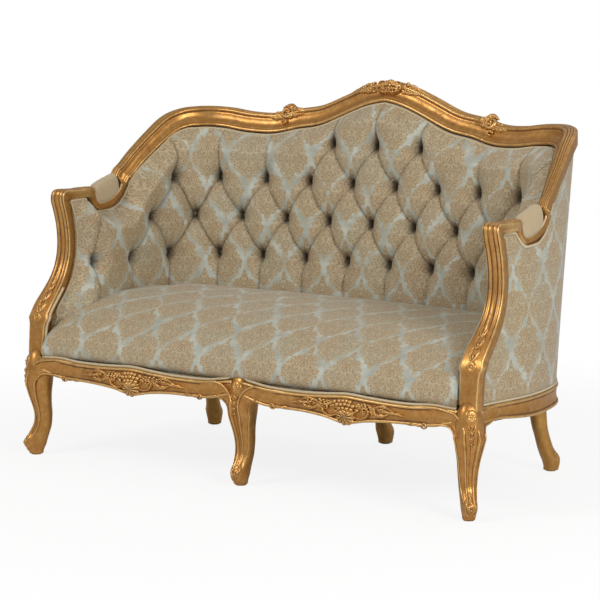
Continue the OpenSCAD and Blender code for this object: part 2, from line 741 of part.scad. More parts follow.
// How far the seat's edge is tucked down, and how far its underside is set in
seat_tuck = 4;
seat_cols = 15;
seat_side_x = stump_x - stump_half_w * 1.4 - clear;
seat_rear_k = k_front(seat_h, wall_th / 2);
// The crowned front: distance behind the foremost place, and share of the seat's rise
seat_front_share = [
  [0.03, 0.02], [0, 0.12], [0.006, 0.28], [0.05, 0.46], [0.1, 0.58], [0.18, 0.72], [0.28, 0.84], [0.4, 0.92],
  [0.56, 0.98], [0.7, 1], [0.85, 0.995]];
seat_front_y = leg_front_y - front_rail_proud + rail_lip_w - 8;
seat_reach = shell_low_depth - wall_th;
function seat_rear_depth(t) =
  mix(arm_rail_w * 1.4, wall_th + tuft_swell, sin(90 * clamp01((1 - abs(t)) * 8))) + seat_gap;
function seat_column(t) =
  let (
    fx = sign(t) * seat_side_x * (1 - pow(1 - abs(t), 2.3)),
    back = wall(t * seat_rear_k, seat_h, seat_rear_depth(t)),
    rise = seat_h + seat_crown - cushion_z,
    rows = [for (s = seat_front_share) if (seat_front_y + s[0] * seat_reach < back[1] - 14) s]
  )
  concat(
    [[fx, seat_front_y + seat_front_share[0][0] * seat_reach, cushion_z]],
    [for (s = rows)
      let (y = seat_front_y + s[0] * seat_reach, f = clamp01((y - seat_front_y) / (back[1] - seat_front_y)))
      [mix(fx, back[0], f), y, cushion_z + s[1] * rise - seat_crown * pow(abs(t), 4)]],
    [[back[0], back[1],
      min(seat_h, cushion_z + rise * lookup((back[1] - seat_front_y) / seat_reach, seat_front_share))
      - seat_tuck]]
  );
module seat_cushion() {
  color(cloth)
    cushion(
      [for (i = [-seat_cols : seat_cols]) seat_column(i / seat_cols)],
      [for (i = [-seat_cols : seat_cols])
        let (t = i / seat_cols, c = seat_column(t), e = wall(t * seat_rear_k, cushion_z, seat_rear_depth(t)))
        [[c[0][0], c[0][1] + seat_tuck, cushion_z], [e[0], e[1], cushion_z]]]
    );
}

// Arm pads, seated in the dips

pad_rise = 18;
pad_from_y = step_back_y + 4;
pad_to_y = dip_low_y + 84;
arm_pad_steps = 14;
// Floor of the dip and crown of the pad along y
dip_floor_list = [for (i = [0 : 20]) let (q = along(dip_upper, i / 20)) [q[0] + i * 0.001, arm_h - q[1]]];
function dip_floor(y) = lookup(y, dip_floor_list);
arm_crown_share = [0.1, 0.34, 0.5, 0.64, 0.76, 0.88, 0.96];
function arm_crown(f) = arm_h + (wing_end_top[2] - arm_h + pad_rise) * (along(arm_crown_share, f) - 0.1);
arm_pad_mid = arm_outer_x - arm_rail_w / 2;
function arm_pad_ring(f) =
  let (
    y = mix(pad_from_y, pad_to_y, f), low = dip_floor(y) + clear, high = max(low + 4, arm_crown(f)),
    w = arm_rail_w / 2 * (0.92 + 0.1 * sin(180 * f)), h = high - low
  )
  [
    [arm_pad_mid - w, y, low], [arm_pad_mid - w * 1.04, y, low + h * 0.45],
    [arm_pad_mid - w * 0.8, y, low + h * 0.8],
    [arm_pad_mid - w * 0.35, y, low + h * 0.97], [arm_pad_mid, y, high],
    [arm_pad_mid + w * 0.35, y, low + h * 0.97],
    [arm_pad_mid + w * 0.8, y, low + h * 0.8],
    [arm_pad_mid + w * 1.04, y, low + h * 0.45], [arm_pad_mid + w, y, low]
  ];
module arm_pad_right() {
  color(pad_cloth)
    skin([for (i = [0 : arm_pad_steps]) arm_pad_ring(i / arm_pad_steps)]);
}
module arm_pad_left() {
  mirror([1, 0, 0]) arm_pad_right();
}

// Outside panels: two grids of points, an outer and an inner one, with the same counts
module sheet(outer, inner) {
  c = len(outer);
  r = len(outer[0]);
  n = c * r;
  polyhedron(
    points = concat([for (l = outer) each l], [for (l = inner) each l]),
    faces = concat(
      [for (i = [0 : c - 2], j = [0 : r - 2])
        let (a = i * r + j, b = a + r)
        each [[a, b, b + 1], [a, b + 1, a + 1], [n + a, n + b + 1, n + b], [n + a, n + a + 1, n + b + 1]]],
      [for (i = [0 : c - 2])
        let (a = i * r, b = a + r, e = a + r - 1, g = b + r - 1)
        each [[a, n + b, b], [a, n + a, n + b], [e, g, n + g], [e, n + g, n + e]]],
      [for (j = [0 : r - 2])
        let (a = (c - 1) * r + j)
        each [[j, n + j + 1, n + j], [j, j + 1, n + j + 1], [a, n + a, n + a + 1], [a, n + a + 1, a + 1]]]
    )
  );
}

panel_low_h = frame_top_h + rail_lip_h + clear;
function panel_top(k) = rail_under(k, 0.76) - clear;
panel_rows = 8;
side_panel_share = 0.46;
function side_panel_k(f, z) = mix(side_panel_share, k_front(z, panel_setback), f);
function side_panel_pt(f, j, depth) =
  let (z = mix(panel_low_h, panel_top(side_panel_k(f, stump_top_h)), j / panel_rows))
  wall(side_panel_k(f, z), z, depth);
side_panel_steps = 16;
function side_panel_grid(depth) =
  [for (i = [0 : side_panel_steps]) [for (j = [0 : panel_rows]) side_panel_pt(i / side_panel_steps, j, depth)]];
module outside_arm_right() {
  color(cloth)
    sheet(
      side_panel_grid(panel_setback),
      side_panel_grid(panel_setback + panel_th)
    );
}
module outside_arm_left() {
  mirror([1, 0, 0]) outside_arm_right();
}
back_panel_steps = 20;
function back_panel_grid(depth) =
  [for (i = [-back_panel_steps : back_panel_steps])
    let (k = i / back_panel_steps * (side_panel_share - 0.0005))
    let (bend = min(plan_top_h, panel_top(k) - overrun))
    [for (z = [panel_low_h, (panel_low_h + bend) / 2, bend, panel_top(k)]) wall(k, z, depth)]];
module outside_back() {
  color(cloth)
    sheet(back_panel_grid(panel_setback), back_panel_grid(panel_setback + panel_th));
}

// Gimp braid along the top edge of the outside panels, from one stump round the back to the other
function braid_ring(k) =
  let (
    top = panel_top(k), low = top - gimp_w,
    out = panel_setback - clear - gimp_th, in = panel_setback - clear
  )
  [wall(k, low, out), wall(k, top, out), wall(k, top, in), wall(k, low, in)];
braid_steps = 60;
arm_gimp_end = k_front(stump_top_h - gimp_w, panel_setback);
module arm_gimp() {
  color(jute)
    skin([for (i = [-braid_steps : braid_steps]) braid_ring(i / braid_steps * arm_gimp_end)]);
}
// Gimp braid on the front rails' lips, under the seat's edge
module seat_gimp_span() {
  skin([
    for (i = [0 : span_steps])
      let (x = mix(span_to - overrun, span_from + overrun, i / span_steps), g = 1 - i / span_steps,
        y = span_face(g) + rail_lip_w - 2 - gimp_w, z = span_high(g) + clear)
      [[x, y, z], [x, y, z + gimp_th], [x, y + gimp_w, z + gimp_th], [x, y + gimp_w, z]]
  ]);
}
module seat_gimp() {
  color(jute) {
    seat_gimp_span();
    mirror([1, 0, 0]) seat_gimp_span();
  }
}

// Hidden frame

post_in = panel_setback + panel_th + 3;
post_out = back_hollow - 2;
post_half_share = 0.018;
post_share = 0.35;
function post_ring(k, f) =
  let (z = mix(frame_top_h, rail_under(k, 0.98) - clear, f), a = k - post_half_share, b = k + post_half_share)
  [wall(a, z, post_out), wall(b, z, post_out), wall(b, z, post_in), wall(a, z, post_in)];
module back_post(k) {
  color(raw_wood)
    skin([for (f = [0, 0.35, 0.7, 1]) post_ring(k, f)]);
}
module back_post_right() {
  back_post(post_share);
}
module back_post_left() {
  mirror([1, 0, 0]) back_post_right();
}
module back_centre_stay() {
  back_post(0);
}
module seat_brace() {
  front = leg_front_y + centre_post_w;
  color(raw_wood)
    translate([-brace_w / 2, front, frame_low_h + 2 * dust_th])
      cube([
        brace_w, shell_low_depth - rail_th - clear - front, frame_top_h - brace_drop - frame_low_h - 2 * dust_th
      ]);
}

// Screws through the corner blocks. Each has a clear hole behind its head.
screw_r = 2.5;
screw_head_r = 5;
screw_head_h = 3;
screw_len = 30;
screw_z = (frame_low_h + frame_top_h) / 2;
screw_bite_share = 0.55;
rear_screw_shift_share = 0.032;
block_reach = 70;
function screw_seat(k) =
  let (p = wall(k, frame_top_h, rail_th + screw_len * (1 - screw_bite_share)), n = wall_normal(k, frame_top_h))
  [p[0], p[1], atan2(n[1], n[0])];
screw_places = [
  [
    front_leg_x - leg_post_w / 2 - block_reach * 0.4,
    front_rail_back_y + screw_len * (1 - screw_bite_share), -90
  ],
  screw_seat(rear_joint_share - rear_screw_shift_share),
  screw_seat(rear_joint_share + rear_screw_shift_share)
];
module at_screw(i) {
  translate([screw_places[i][0], screw_places[i][1], screw_z])
    rotate([0, 90, screw_places[i][2]])
      children();
}
module screw() {
  cylinder(r = screw_r, h = screw_len, $fn = 24);
  translate([0, 0, -screw_head_h])
    cylinder(r = screw_head_r, h = screw_head_h, $fn = 24);
}
// A pilot hole in a rail, left square-sided like a hand-cut one
module pilot_hole() {
  cylinder(r = screw_r + clear, h = screw_len + clear, $fn = 8);
}
module screw_hole() {
  cylinder(r = screw_r, h = screw_len + clear, $fn = 24);
  translate([0, 0, -block_reach])
    cylinder(r = screw_head_r + clear, h = block_reach, $fn = 24);
}
module block_screws() {
  color(steel)
    for (m = [0, 1])
      mirror([m, 0, 0])
        for (i = [0 : 2])
          at_screw(i)
            screw();
}

block_low = frame_low_h + 6;
block_h = frame_top_h - block_low - 6;
function inner_rail(k) = let (p = wall(k, frame_top_h, rail_th + 2 * clear)) [p[0], p[1]];
block_k = low_k(leg_back_y + block_reach);
module front_block() {
  post_x = front_leg_x - leg_post_w / 2 - clear;
  linear_extrude(height = block_h)
    polygon(concat(
      [[post_x - block_reach, front_rail_back_y + clear], [post_x, front_rail_back_y + clear],
       [post_x, leg_back_y + clear], [inner_rail(side_rail_end)[0], leg_back_y + clear]],
      [inner_rail(mix(side_rail_end, block_k, 0.5)), inner_rail(block_k)]
    ));
}
rear_block_span_share = 0.06;
module rear_block() {
  linear_extrude(height = block_h)
    polygon([for (i = [-4 : 4]) inner_rail(rear_joint_share + rear_block_span_share * i / 4)]);
}
module corner_blocks() {
  color(raw_wood)
    for (m = [0, 1])
      mirror([m, 0, 0])
        difference() {
          translate([0, 0, block_low]) {
            front_block();
            rear_block();
          }
          for (i = [0 : 2])
            at_screw(i)
              screw_hole();
        }
}

// Dowels

module leg_dowels() {
  color(raw_wood)
    for (x = [-span_to, -span_from, span_from, span_to])
      dowel_at([x, post_mid_y, dowel_z], [0, 90, 0], dowel_r, dowel_len);
}
module stump_dowels() {
  color(raw_wood)
    for (s = [-1, 1])
      dowel_at([s * front_leg_x, post_mid_y, frame_top_h], [0, 0, 0], dowel_r, stump_dowel_len);
}

// Springs and cloths

spring_spread = 2 * (seat_side_x - block_reach * 1.2) / (spring_count - 1);
spring_front_y = leg_front_y + 20;
function spring_x(i) = (i - (spring_count - 1) / 2) * spring_spread;
inner_rail_list = [for (i = [0 : 40]) inner_rail(i / 50)];
function spring_back_y(x) = lookup(abs(x) + spring_w / 2, inner_rail_list) + rail_th * 0.4;
function spring_turns(x) = floor((spring_back_y(x) - spring_front_y) / spring_step);
// One zig-zag: bars across, joined at alternate ends
module spring_at(x) {
  n = spring_turns(x);
  step = (spring_back_y(x) - spring_front_y) / n;
  translate([x - spring_w / 2, spring_front_y, frame_top_h])
    linear_extrude(height = spring_wire)
      union() {
        for (j = [0 : n])
          translate([0, j * step - spring_wire / 2])
            square([spring_w, spring_wire]);
        for (j = [0 : n - 1])
          translate([j % 2 == 0 ? 0 : spring_w - spring_wire, j * step])
            square([spring_wire, step]);
      }
}
module seat_springs() {
  color(steel)
    for (i = [0 : spring_count - 1])
      spring_at(spring_x(i));
}
clip_w = 16;
module clip_at(x, y) {
  side = spring_wire + 2 * (clip_wall + clear);
  translate([x - clip_w / 2, y - side / 2, frame_top_h])
    difference() {
      cube([clip_w, side, spring_wire + clear + clip_wall - clear]);
      translate([-overrun, clip_wall, -overrun])
        cube([clip_w + 2 * overrun, spring_wire + 2 * clear, spring_wire + overrun]);
    }
}
module spring_clips() {
  color(steel)
    for (i = [0 : spring_count - 1], y = [spring_front_y, spring_back_y(spring_x(i))])
      clip_at(spring_x(i), y);
}
cloth_steps = 30;
module hessian() {
  edge = [for (i = [-cloth_steps : cloth_steps])
    let (
      k = i / cloth_steps * side_rail_end,
      p = wall(k, frame_top_h, abs(k) < rear_joint_share ? post_out + clear : rail_th * 0.8)
    )
    [p[0], p[1]]];
  front = seat_front_y + seat_front_share[0][0] * seat_reach;
  post_in_x = seat_side_x - overrun;
  color(jute)
    translate([0, 0, hessian_z])
      linear_extrude(height = hessian_th)
        polygon(concat([[-post_in_x, front], [-post_in_x, leg_back_y + overrun]], edge,
          [[post_in_x, leg_back_y + overrun], [post_in_x, front]]));
}
module dust_cover() {
  edge = [for (i = [-cloth_steps : cloth_steps])
    let (p = inner_rail(abs(i) / cloth_steps * side_rail_end)) [i < 0 ? -p[0] : p[0], p[1]]];
  post_x = front_leg_x - leg_post_w / 2 - clear;
  mid_x = centre_post_w / 2 + clear;
  front = front_rail_back_y + clear;
  mid_y = leg_front_y + centre_post_w + clear;
  color(black_cloth)
    translate([0, 0, frame_low_h])
      linear_extrude(height = dust_th)
        polygon(concat([[-post_x, front], [-post_x, leg_back_y + clear]], edge,
          [[post_x, leg_back_y + clear], [post_x, front], [mid_x, front],
           [mid_x, mid_y], [-mid_x, mid_y], [-mid_x, front]]));
}

// Carvings. Each is a thin plate on the moulding's face, with raised bosses for its leaves and petals.

carve_h = 8;
plate_th = 2;
rosette_r = 17;
small_rosette_r = 12;
scroll_r = 12;
scroll_wire_r = 4;
shell_r = 22;
crest_spray_len = 98;
rail_spray_len = 132;
stump_spray_len = 56;
shoulder_spray_len = 46;

// Petals: place and size as shares of a rosette's radius
petal_place_share = 0.68;
petal_size_share = 0.27;
eye_size_share = 0.36;
module rosette(r, h, petals) {
  cylinder(r = r, h = plate_th, $fn = 40);
  boss(r * eye_size_share, h);
  for (i = [0 : petals - 1])
    rotate([0, 0, i * 360 / petals])
      translate([r * petal_place_share, 0, 0])
        boss(r * petal_size_share, h * 0.75);
}
// Leaves along a spray: place, size and offset as shares of its length
leaf_share = [
  [0.1, 0.085, 0.012], [0.275, 0.078, -0.015], [0.445, 0.08, 0.015], [0.605, 0.066, -0.01],
  [0.745, 0.062, 0.012], [0.87, 0.05, -0.005]
];
spray_edge_share = [[0, 0.07], [0.1, 0.11], [0.19, 0.07], [0.275, 0.105], [0.36, 0.065], [0.445, 0.11],
  [0.53, 0.06], [0.605, 0.09], [0.68, 0.055], [0.745, 0.085], [0.81, 0.045], [0.87, 0.065], [0.96, 0.02]];
module spray(reach, h) {
  linear_extrude(height = plate_th * 0.75)
    polygon(concat(
      [for (p = spray_edge_share) p * reach], [[reach, 0]],
      [for (i = [len(spray_edge_share) - 1 : -1 : 0]) [spray_edge_share[i][0], -spray_edge_share[i][1]] * reach]
    ));
  for (f = leaf_share)
    translate([f[0] * reach, f[2] * reach, 0])
      boss(f[1] * reach, h * (1 - f[0] / 2));
}
// A shell: a fan of ribs round a boss
rib_step = 36;
rib_size_share = 0.19;
module shell(r, h) {
  cylinder(r = r, h = plate_th, $fn = 40);
  boss(r * eye_size_share, h);
  for (i = [-3 : 3])
    rotate([0, 0, i * rib_step - 90])
      translate([r * petal_place_share, 0, 0])
        boss(r * rib_size_share, h * 0.8);
}
// A scroll: a raised ring on a round plate
module scroll(r, wire_r) {
  cylinder(r = r, h = plate_th * 1.25, $fn = 40);
  rotate_extrude($fn = 40)
    translate([r - wire_r - clear, 0])
      intersection() {
        circle(r = wire_r, $fn = 24);
        translate([-wire_r, 0])
          square([2 * wire_r, wire_r]);
      }
}

// Seats a drawing on the inclined face of a top rail at share k, clear of the wood
face_out_share = 0.725;
face_up_share = 0.385;
module on_crest_face(k, lift) {
  w = wall(k, crest_line_z(k), crest_w * face_out_share + lift);
  n = wall_normal(k, crest_line_z(k));
  d = crest_dir(k);
  translate([w[0], w[1], w[2] - crest_face_h * face_up_share + lift * 0.7])
    rotate([0, 0, atan2(n[1], n[0]) - 90])
      rotate([0, -atan2(d[2], norm([d[0], d[1]])), 0])
        rotate([54, 0, 0])
          children();
}
crest_lift = 6;
// Angle at which the leaf sprays fall away beside the middle of the crest
spray_droop = 11;
module crest_cartouche() {
  color(gold)
    on_crest_face(0, crest_lift) {
      rosette(rosette_r, carve_h, 5);
      for (m = [0, 1])
        mirror([m, 0, 0]) {
          translate([rosette_r + scroll_r - plate_th, -plate_th, 0])
            scroll(scroll_r, scroll_wire_r);
          translate([rosette_r + 2 * scroll_r - 2 * plate_th, -plate_th, 0])
            rotate([0, 0, -spray_droop])
              spray(crest_spray_len, carve_h);
        }
    }
}
module shoulder_scroll() {
  on_crest_face(shoulder_share * 0.97, crest_lift) {
    translate([0, rosette_r * 0.9, 0])
      rosette(rosette_r, carve_h, 5);
    translate([-rosette_r * 0.8, rosette_r * 0.6, 0])
      mirror([1, 0, 0])
        spray(shoulder_spray_len, carve_h);
  }
}
module shoulder_scrolls() {
  color(gold) {
    shoulder_scroll();
    mirror([1, 0, 0]) shoulder_scroll();
  }
}
module rail_carving_right() {
  mid = (span_from + span_to) / 2;
  color(gold)
    translate([mid, leg_front_y - front_rail_proud * 1.2 - clear, 0])
      rotate([90, 0, 0]) {
        translate([0, span_low(0.5) + shell_r * 0.8, 0])
          shell(shell_r, carve_h);
        translate([0, span_low(0.5) + shell_r * 1.8 + small_rosette_r - plate_th, 0])
          rosette(small_rosette_r, carve_h, 5);
        for (m = [0, 1])
          mirror([m, 0, 0])
            translate([shell_r - plate_th, span_low(0.5) + shell_r * 1.2, 0])
              rotate([0, 0, 3])
                spray(rail_spray_len, carve_h);
      }
}
module rail_carving_left() {
  mirror([1, 0, 0]) rail_carving_right();
}
// Knees: a rosette with a drop below it
drop_share = [[0.17, 0.15], [0.45, 0.12], [0.7, 0.1], [0.9, 0.07]];
knee_drop_len = 44;
module knee_drop() {
  rosette(small_rosette_r * 1.2, carve_h, 5);
  translate([0, -small_rosette_r, 0])
    rotate([0, 0, -90]) {
      linear_extrude(height = plate_th * 0.75)
        polygon([for (p = [[0, -0.18], [1, -0.05], [1, 0.05], [0, 0.18]]) p * knee_drop_len]);
      for (d = drop_share)
        translate([d[0] * knee_drop_len, 0, 0])
          boss(d[1] * knee_drop_len, carve_h * (1 - d[0] / 2));
    }
}
knee_z = frame_top_h - small_rosette_r;
// How far a front leg's outer face stands from its post's middle, at a height
function leg_face(z) =
  let (f = (z - sole_h) / (leg_top_h - sole_h), n = len(leg_height_share) - 1)
  knee_depth * (lookup(f, [for (i = [0 : n]) [leg_height_share[i], leg_sway_share[i]]])
    + lookup(f, [for (i = [0 : n]) [leg_height_share[i], leg_depth_share[i]]]) / 2);
module at_front_legs(z) {
  for (m = [0, 1])
    mirror([m, 0, 0])
      translate([front_leg_x, post_mid_y, z])
        rotate([0, 0, 45])
          translate([0, -leg_face(z) - knee_out - clear, 0])
            rotate([90, 0, 0])
              children();
  translate([0, centre_leg_y - leg_face(z) - clear, z])
    rotate([90, 0, 0])
      children();
}
module knee_rosettes() {
  color(gold)
    at_front_legs(knee_z)
      knee_drop();
}
stump_carve_z = frame_top_h + 0.24 * stump_rise;
module stump_rosettes() {
  color(gold)
    for (m = [0, 1])
      mirror([m, 0, 0])
        translate([stump_x + rosette_r * 0.5, stump_front(stump_carve_z) - plate_th, stump_carve_z])
          rotate([90, 0, 0]) {
            rosette(rosette_r, carve_h, 6);
            rotate([0, 0, 90])
              translate([rosette_r * 0.8, 0, 0])
                spray(stump_spray_len, carve_h);
          }
}
toe_z = 0.15 * frame_low_h;
module toe_scrolls() {
  color(gold)
    at_front_legs(toe_z)
      rosette(small_rosette_r * 0.8, carve_h / 2, 5);
}

// The origin is on the floor, under the middle of the whole piece
front_end_y = leg_front_y - front_rail_proud * 1.2 - clear - carve_h;
origin_y = (front_end_y + shell_top_depth) / 2;
module placed() {
  translate([0, -origin_y, 0]) children();
}

placed() crest_rail();
placed() wing_rail_left();
placed() wing_rail_right();
placed() arm_rail_left();
placed() arm_rail_right();
placed() arm_stump_left();
placed() arm_stump_right();
placed() front_rail_left();
placed() front_rail_right();
placed() side_rail_left();
placed() side_rail_right();
placed() back_rail();
placed() front_leg_left();
placed() front_leg_centre();
placed() front_leg_right();
placed() rear_leg_left();
placed() rear_leg_centre();
placed() rear_leg_right();
placed() crest_cartouche();
placed() shoulder_scrolls();
placed() rail_carving_left();
placed() rail_carving_right();
placed() knee_rosettes();
placed() stump_rosettes();
placed() toe_scrolls();
placed() back_post_left();
placed() back_post_right();
placed() back_centre_stay();
placed() seat_brace();
placed() corner_blocks();
placed() block_screws();
placed() leg_dowels();
placed() stump_dowels();
placed() seat_springs();
placed() spring_clips();
placed() hessian();
placed() seat_cushion();
placed() inside_back();
placed() inside_arm_left();
placed() inside_arm_right();
placed() back_buttons();
placed() arm_pad_left();
placed() arm_pad_right();
placed() outside_back();
placed() outside_arm_left();
placed() outside_arm_right();
placed() arm_gimp();
placed() seat_gimp();
placed() dust_cover();
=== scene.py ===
"""Looks of a gilded settee: carved show wood, buttoned damask, braid, arm pads and a sprung seat.

Lengths are worked out in millimetres, with y = 0 on the line of the front feet, and turned into
the part's own frame, in metres, where a mesh is made.
"""
import json
import math

import bmesh
import bpy
import numpy as np
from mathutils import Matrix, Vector


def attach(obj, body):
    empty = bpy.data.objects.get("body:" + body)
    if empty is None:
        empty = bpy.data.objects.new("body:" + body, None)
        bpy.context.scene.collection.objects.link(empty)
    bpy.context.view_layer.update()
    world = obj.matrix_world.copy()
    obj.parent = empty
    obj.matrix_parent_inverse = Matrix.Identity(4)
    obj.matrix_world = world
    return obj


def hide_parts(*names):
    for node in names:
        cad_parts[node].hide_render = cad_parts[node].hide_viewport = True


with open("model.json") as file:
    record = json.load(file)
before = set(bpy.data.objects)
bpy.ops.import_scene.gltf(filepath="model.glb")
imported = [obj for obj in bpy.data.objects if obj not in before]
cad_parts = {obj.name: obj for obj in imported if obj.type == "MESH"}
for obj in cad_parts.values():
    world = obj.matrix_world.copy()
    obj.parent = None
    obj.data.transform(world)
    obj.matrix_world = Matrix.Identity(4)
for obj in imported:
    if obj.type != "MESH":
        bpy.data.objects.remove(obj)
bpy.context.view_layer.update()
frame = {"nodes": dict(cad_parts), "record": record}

# Sizes, as in the part
LOW_HALF_W, LOW_DEPTH = 760.0, 672.0
TOP_HALF_W, TOP_DEPTH = 728.0, 755.0
CREST_H, ARM_H = 1048.0, 742.0
RAIL_TOP, RAIL_LOW = 272.0, 232.0
CREST_W, CREST_FACE = 62.0, 56.0
ARM_RAIL_W, ARM_STEP = 42.0, 25.0
FRONT_Y, RAIL_TH, LIP_H, LIP_W, PROUD = -10.0, 38.0, 14.0, 15.0, 10.0
LEG_X, POST_W, CENTRE_POST_W = 710.0, 50.0, 60.0
STUMP_X, STUMP_HALF_W, STUMP_DEPTH = 719.0, 24.0, 26.0
SEAT_H, SEAT_CROWN = 444.0, 8.0
PITCH, ROW_H, FIRST_ROW = 145.0, 110.0, 534.0
PAD_DEPTH, SWELL = 93.0, 26.0
CLOTH_IN, CLOTH_BACK, CLOTH_SEAM, OUTSIDE_PART = 6.0, 14.0, 0.46, 0.76
CLEAR, BURIED, CARVING_OUT = 0.3, 3.0, 8.0
PLAN_TOP = ARM_H + 0.69 * (CREST_H - ARM_H)
SHOULDER, WING_END, CREST_END, REAR_JOINT = 0.228, 0.716, 0.7, 0.40
MIDDLE_Y = (FRONT_Y - PROUD * 1.2 - CLEAR - CARVING_OUT + TOP_DEPTH) / 2

LOW_PLAN = np.array([
    (0, 1), (0.197, 0.997), (0.395, 0.985), (0.579, 0.957), (0.737, 0.899), (0.862, 0.804),
    (0.945, 0.670), (0.987, 0.513), (1, 0.350), (0.984, 0.193), (0.966, 0.054)]) * (LOW_HALF_W, LOW_DEPTH)
TOP_PLAN = np.array([
    (0, 1), (0.220, 0.997), (0.433, 0.985), (0.640, 0.948), (0.820, 0.906), (0.932, 0.806),
    (0.98, 0.65), (0.998, 0.494), (0.996, 0.38), (0.992, 0.264), (0.989, 0.143)]) * (TOP_HALF_W, TOP_DEPTH)
CREST_LINE = np.array([
    1, 0.951, 0.840, 0.738, 0.695, 0.645, 0.648, 0.678, 0.690, 0.688, 0.668, 0.605, 0.460, 0.300, 0.147])


# Curves and the shared wall
def along(points, share):
    """Smooth curve through evenly numbered points, at shares from 0 to 1."""
    points = np.asarray(points, float)
    last = len(points) - 1
    place = np.clip(np.asarray(share, float), 0, 1) * last
    i = np.minimum(place.astype(int), last - 1)
    f = place - i
    if points.ndim > 1:
        f = f[..., None]
    a, b = points[np.maximum(i - 1, 0)], points[i]
    c, d = points[i + 1], points[np.minimum(i + 2, last)]
    bend, twist = 2 * a - 5 * b + 4 * c - d, 3 * b - a - 3 * c + d
    return 0.5 * (2 * b + (c - a) * f + bend * f ** 2 + twist * f ** 3)


def mix(a, b, k):
    """The value at share k of the way from a to b."""
    return a + (b - a) * k


def unit(v):
    """Vectors brought to a length of 1."""
    return v / np.maximum(np.linalg.norm(v, axis=-1, keepdims=True), 1e-9)


def stack(*parts):
    """Places put together from their coordinates."""
    return np.stack(np.broadcast_arrays(*parts), axis=-1).astype(float)


def aligned(*values):
    """The values as arrays of one shape."""
    return np.broadcast_arrays(*(np.asarray(v, float) for v in values))


def lengths(points):
    """Distance along a line of points, from its start."""
    return np.concatenate([[0], np.cumsum(np.linalg.norm(np.diff(points, axis=0), axis=1))])


def smoothed(points, times):
    """The line with its inner points drawn towards their neighbours."""
    points = points.copy()
    for _ in range(times):
        points[1:-1] = (points[:-2] + 2 * points[1:-1] + points[2:]) / 4
    return points


def round_about(count):
    """Cosines and sines of evenly spread angles."""
    a = np.linspace(0, 2 * np.pi, count, endpoint=False)
    return np.cos(a), np.sin(a)


def squared(c, s, power):
    """Reach of a rounded square at the angle with cosine c and sine s."""
    return (abs(c) ** power + abs(s) ** power) ** (-1 / power)


def turned(x, y, degrees, u, v):
    """Place that lies u outwards and v across from x, y, where outwards is an angle on the floor plan."""
    c, s = math.cos(math.radians(degrees)), math.sin(math.radians(degrees))
    return x + u * c - v * s, y + u * s + v * c


def wall_raw(k, z):
    """Floor-plan place on the right-hand half of the wall at height z."""
    f = np.minimum(1, (z - RAIL_TOP) / (PLAN_TOP - RAIL_TOP))
    return mix(along(LOW_PLAN, k), along(TOP_PLAN, k), np.asarray(f)[..., None])


def wall_out(k, z):
    """Level direction out of the wall, for k from 0 up."""
    d = wall_raw(np.minimum(k + 0.004, 1), z) - wall_raw(np.maximum(k - 0.004, 0), z)
    n = unit(stack(-d[..., 1], d[..., 0]))
    middle = (np.asarray(k) < 0.004)[..., None]
    return np.where(middle, (0.0, 1.0), n)


def wall(k, z, depth=0.0):
    """Point of the wall. k runs from 0 at the back's middle to 1 at an arm's front, below 0 on the left."""
    k, z, depth = aligned(k, z, depth)
    p = wall_raw(abs(k), z) - wall_out(abs(k), z) * depth[..., None]
    return stack(p[..., 0] * np.where(k < 0, -1, 1), p[..., 1], z)


def crest_z(k):
    """Height of the crest's top, rounded over at its middle."""
    k = np.sqrt(np.asarray(k, float) ** 2 + 0.0003)
    return ARM_H + (CREST_H - ARM_H) * along(CREST_LINE, np.minimum(k, WING_END) / CREST_END)


def crest_line_z(k):
    """Height of the top rails' line, with the wing's short drop to the arm."""
    k = abs(np.asarray(k, float))
    end = crest_z(np.float64(CREST_END))
    return np.where(k <= CREST_END, crest_z(k), end - (k - CREST_END) / 0.016 * (end - ARM_H) * 0.52)


def crest_point(k):
    k = np.asarray(k, float)
    z = crest_line_z(k)
    p = wall_raw(abs(k), z)
    return stack(p[..., 0] * np.where(k < 0, -1, 1), p[..., 1], z)


def face_share(k):
    """Height of the top rail's moulding, as a share of its height on the crest."""
    return mix(1, 0.74, np.clip((abs(k) - 0.45) / 0.2, 0, 1))


def width_share(k):
    """Width of the top rail, as a share of its width on the crest."""
    return mix(1, ARM_RAIL_W / CREST_W, np.clip((abs(k) - 0.5) / 0.2, 0, 1))


def crest_axes(k, straight=0.0):
    """Top line's point, outward and upward directions at share k."""
    k = np.asarray(k, float)
    p = crest_point(k)
    run = unit(crest_point(np.minimum(k + 0.006, WING_END)) - crest_point(k - 0.006))
    out = unit(stack(-run[..., 1], run[..., 0], 0))
    out = unit(mix(out, np.array((1.0, 0, 0)), np.asarray(straight)[..., None]))
    run = unit(run - out * np.sum(run * out, axis=-1, keepdims=True))
    return p, out, np.cross(run, out)


def to_part(points):
    """Millimetres from the front feet's line to metres in the part's frame."""
    return (np.asarray(points, float) - (0, MIDDLE_Y, 0)) / 1000


# Mesh tools
def finish_mesh(bm, name, material, node=None, slot=None, hollow=False, pad=None):
    """Puts a finished bmesh in the scene; pad, how full a padded piece is, is not used."""
    mesh = bpy.data.meshes.new(name)
    bm.to_mesh(mesh)
    bm.free()
    if hollow:
        mark_hollows(mesh)
    piece = bpy.data.objects.new(name, mesh)
    bpy.context.scene.collection.objects.link(piece)
    mesh.materials.append(material)
    mesh.polygons.foreach_set("use_smooth", [True] * len(mesh.polygons))
    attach(piece, "root")
    if node:
        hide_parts(*([node] if isinstance(node, str) else node))


HOLLOW_GAIN = 3.4


